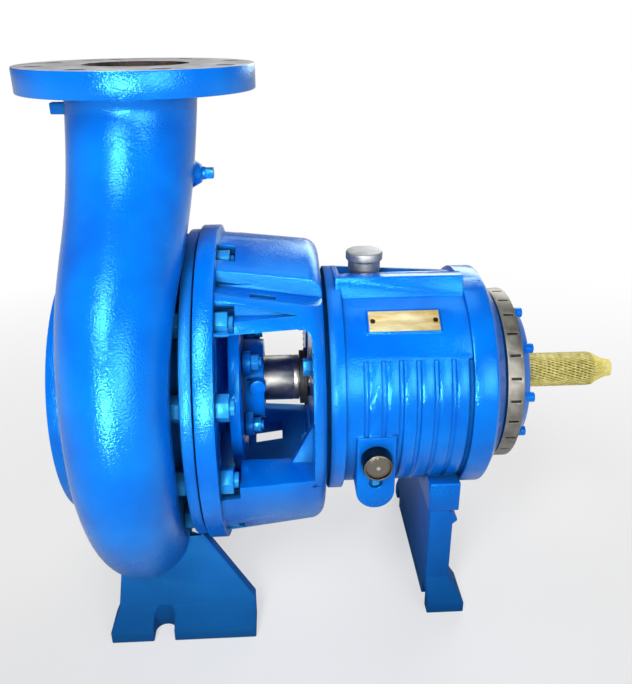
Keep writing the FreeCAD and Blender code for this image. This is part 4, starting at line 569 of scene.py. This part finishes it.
finish_inner(["inboard_oil_seal", "outboard_oil_seal", "carrier_o_ring"], seal_rubber)

# Net sleeve: a tube of olive plastic netting pulled over the bare shaft end, with its tail gathered.
# Thick strands wind round the outside, and thinner ones cross them underneath, welded where they touch.

NET_LOW, NET_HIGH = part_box("shaft_net")
NET_RADIUS = (NET_HIGH.z - NET_LOW.z) / 2
STRANDS = 36
STRAND_SIDES = 6
OUTER_STRAND = 0.00115
INNER_STRAND = 0.0008
STRAND_TURN = math.radians(110)
STRAND_STEPS = 28
NET_END_GAP = 0.0002
TAIL_LENGTH = 0.0247
TAIL_START = NET_HIGH.x - TAIL_LENGTH
TAIL_SQUEEZE = 0.5
PALE_FROM = TAIL_START - 0.001
PALE_BY = TAIL_START + 0.003
LIGHT_DEPTH = (0.002, 0.002, 0.001)


def net_plastic(name):
    """Extruded polyethylene: olive where it lies over the shaft, pale yellow where light comes through."""
    material = new_material(name)
    place = object_place(material)
    along = add(material, "ShaderNodeSeparateXYZ", {"Vector": place}).outputs["X"]
    pale = spread(material, along, 0, 1, PALE_FROM, PALE_BY)
    mottle = grain(material, place, 5)
    olive = tint(material, spread(material, mottle, 0, 1), linear("#BCB04C"), linear("#EADF94"))
    return finish_material(material, {
        "Base Color": tint(material, pale, olive, linear("#FFF08A")),
        "Roughness": spread(material, mottle, 0.35, 0.5),
        "Subsurface Weight": 0.1, "Subsurface Radius": LIGHT_DEPTH})


def net_strand(radius, inset, way):
    """One strand: a small hexagon carried along a helix and drawn in towards the tail."""
    bpy.ops.object.select_all(action="DESELECT")
    bpy.ops.mesh.primitive_circle_add(
        vertices=STRAND_SIDES, radius=radius, fill_type="NGON",
        location=(NET_LOW.x, 0, NET_RADIUS - inset), rotation=(0, math.pi / 2, 0))
    strand = bpy.context.object
    bpy.ops.object.transform_apply(location=True, rotation=True, scale=True)
    twist = strand.modifiers.new("twist", "SCREW")
    twist.axis = "X"
    twist.angle = STRAND_TURN * way
    twist.screw_offset = NET_HIGH.x - NET_LOW.x - NET_END_GAP
    twist.steps = STRAND_STEPS
    twist.render_steps = STRAND_STEPS
    twist.use_normal_calculate = True
    bpy.ops.object.modifier_apply(modifier="twist")
    for vertex in strand.data.vertices:
        part = max(0.0, (vertex.co.x - TAIL_START) / TAIL_LENGTH)
        shrink = 1 - TAIL_SQUEEZE * math.sin(part * math.pi / 2)
        vertex.co.y *= shrink
        vertex.co.z *= shrink
    return strand


strands = []
for radius, inset, way in ((OUTER_STRAND, OUTER_STRAND, 1), (INNER_STRAND, 2 * OUTER_STRAND, -1)):
    first = net_strand(radius, inset, way)
    for number in range(STRANDS):
        strand = bpy.data.objects.new("net_strand", first.data.copy())
        bpy.context.scene.collection.objects.link(strand)
        turn = Matrix.Rotation(2 * math.pi * number / STRANDS, 4, "X")
        strand.data.transform(Matrix.Translation((0, 0, SHAFT_HEIGHT)) @ turn)
        strands.append(strand)
    bpy.data.objects.remove(first)
bpy.ops.object.select_all(action="DESELECT")
for strand in strands:
    strand.select_set(True)
bpy.context.view_layer.objects.active = strands[0]
bpy.ops.object.join()
net = bpy.context.object
net.name = "shaft_net_strands"
bpy.ops.object.shade_smooth()
net.data.materials.clear()
net.data.materials.append(net_plastic("extruded_polyethylene_net"))
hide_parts("shaft_net")
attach(net, "net_sleeve")

# Floor: white paper. Near the pump it takes the soft shadow, and further out it is the white of the
# background, so that no horizon shows. The light that it throws back up is that of a grey floor.

FLOOR_SIZE = 40
FLOOR_DROP = 0.0005
PUMP_MIDDLE = (0.2, 0.0, 0.0)
SHADOW_REACH = 0.45
WHITE_FROM = 1.3
SHADOW_SHARE = 0.45
GLOSS_SHARE = 0.5

bpy.ops.object.select_all(action="DESELECT")
bpy.ops.mesh.primitive_plane_add(size=FLOOR_SIZE, location=(0, 0, -FLOOR_DROP))
floor = bpy.context.object
floor.name = "studio_floor"
floor_paper = new_material("white_paper_floor")
floor_place = object_place(floor_paper)
rays = add(floor_paper, "ShaderNodeLightPath")
seen = add(floor_paper, "ShaderNodeMath", {
    0: rays.outputs["Is Camera Ray"], 1: rays.outputs["Is Glossy Ray"]}, operation="MAXIMUM").outputs[0]
away = add(floor_paper, "ShaderNodeVectorMath", {
    0: floor_place, 1: PUMP_MIDDLE}, operation="DISTANCE").outputs["Value"]
to_camera = add(floor_paper, "ShaderNodeMath", {
    0: rays.outputs["Is Camera Ray"],
    1: spread(floor_paper, away, 1 - SHADOW_SHARE, 1, SHADOW_REACH, WHITE_FROM)},
    operation="MULTIPLY").outputs[0]
to_gloss = add(floor_paper, "ShaderNodeMath", {
    0: rays.outputs["Is Glossy Ray"],
    1: spread(floor_paper, away, 0, GLOSS_SHARE, SHADOW_REACH, WHITE_FROM)},
    operation="MULTIPLY").outputs[0]
white_share = add(floor_paper, "ShaderNodeMath", {
    0: to_camera, 1: to_gloss}, operation="MAXIMUM").outputs[0]
paper_colour = tint(floor_paper, seen, linear("#9A9A9A"), linear("#FAFAFA"))
fibres = grain(floor_paper, floor_place, 3)
paper = add(floor_paper, "ShaderNodeBsdfPrincipled", {
    "Base Color": paper_colour, "Roughness": spread(floor_paper, fibres, 0.8, 0.9),
    "Specular IOR Level": 0.0})
white = add(floor_paper, "ShaderNodeEmission", {"Color": (1, 1, 1, 1), "Strength": 1.0})
both = add(floor_paper, "ShaderNodeMixShader", {0: white_share, 1: paper.outputs[0], 2: white.outputs[0]})
add(floor_paper, "ShaderNodeOutputMaterial", {"Surface": both.outputs[0]})
floor.data.materials.append(floor_paper)

# Surround: white where it is looked at or seen through, and dark grey in a reflection, as a studio's
# walls are. To all else it gives a weak even fill.

FILL = 0.12
MIRRORED = 0.18

world = bpy.data.worlds.new("white_studio")
bpy.context.scene.world = world
world.use_nodes = True
world.node_tree.nodes.clear()
rays = add(world, "ShaderNodeLightPath")
looked_at = add(world, "ShaderNodeMath", {
    0: rays.outputs["Is Camera Ray"], 1: rays.outputs["Is Transmission Ray"]}, operation="MAXIMUM").outputs[0]
mirrored = add(world, "ShaderNodeMath", {0: rays.outputs["Is Glossy Ray"], 1: MIRRORED},
               operation="MULTIPLY").outputs[0]
shown = add(world, "ShaderNodeMath", {0: looked_at, 1: mirrored}, operation="MAXIMUM").outputs[0]
strength = add(world, "ShaderNodeMath", {0: shown, 1: FILL}, operation="MAXIMUM").outputs[0]
surround = add(world, "ShaderNodeBackground", {"Color": (1, 1, 1, 1), "Strength": strength})
add(world, "ShaderNodeOutputWorld", {"Surface": surround.outputs["Background"]})

# Lamps: a big soft box high in front draws the bright bands on the flanges and down the scroll, a low one
# near the camera and one on the right light what stands upright, and two weak ones lift the top and the
# back.


def soft_box(name, place, target, width, height, watts, spread_angle=180):
    """A rectangular lamp that faces a point; a narrower spread lights less to its sides."""
    bpy.ops.object.light_add(type="AREA", location=place)
    made = bpy.context.object
    made.name = name
    made.data.shape = "RECTANGLE"
    made.data.size = width
    made.data.size_y = height
    made.data.energy = watts
    made.data.spread = math.radians(spread_angle)
    made.rotation_euler = (Vector(target) - Vector(place)).to_track_quat("-Z", "Y").to_euler()


soft_box("high_softbox", (-0.25, -1.15, 1.5), (0.1, 0.0, 0.5), 0.34, 0.9, 2.2, 62)
soft_box("low_softbox", (-0.15, -1.75, 0.5), (0.08, 0.0, 0.46), 0.5, 0.4, 1.2, 38)
soft_box("right_softbox", (0.8, -1.5, 0.8), (0.15, 0.0, 0.46), 1.0, 0.8, 2.0, 64)
soft_box("top_softbox", (0.1, 0.5, 2.1), (0.1, 0.0, 0.2), 1.4, 1.0, 5)
soft_box("back_softbox", (0.9, 1.6, 1.0), (0.2, 0.0, 0.25), 1.2, 0.9, 14)

# Camera: where the photograph was taken from, near the pump and above it, with the lens that its
# perspective gives. Angles are in radians, and the lens is in mm.

CAMERA_PLACE = Vector((0.13421, -0.75416, 0.63385))
CAMERA_YAW = 0.05
CAMERA_PITCH = 0.419
CAMERA_ROLL = -0.007
CAMERA_LENS = 38.05
CAMERA_SENSOR = 36
CAMERA_NEAREST = 0.01
forward = Vector((math.sin(CAMERA_YAW) * math.cos(CAMERA_PITCH),
                  math.cos(CAMERA_YAW) * math.cos(CAMERA_PITCH),
                  -math.sin(CAMERA_PITCH)))
level = Vector((math.cos(CAMERA_YAW), -math.sin(CAMERA_YAW), 0))
upward = level.cross(forward)
right = math.cos(CAMERA_ROLL) * level + math.sin(CAMERA_ROLL) * upward
up = -math.sin(CAMERA_ROLL) * level + math.cos(CAMERA_ROLL) * upward
bpy.ops.object.camera_add(location=CAMERA_PLACE)
camera = bpy.context.object
turn = Matrix((right, up, -forward)).transposed()
camera.matrix_world = Matrix.Translation(CAMERA_PLACE) @ turn.to_4x4()
camera.data.lens = CAMERA_LENS
camera.data.sensor_width = CAMERA_SENSOR
camera.data.clip_start = CAMERA_NEAREST
bpy.context.scene.camera = camera
bpy.context.scene.view_settings.view_transform = "Standard"
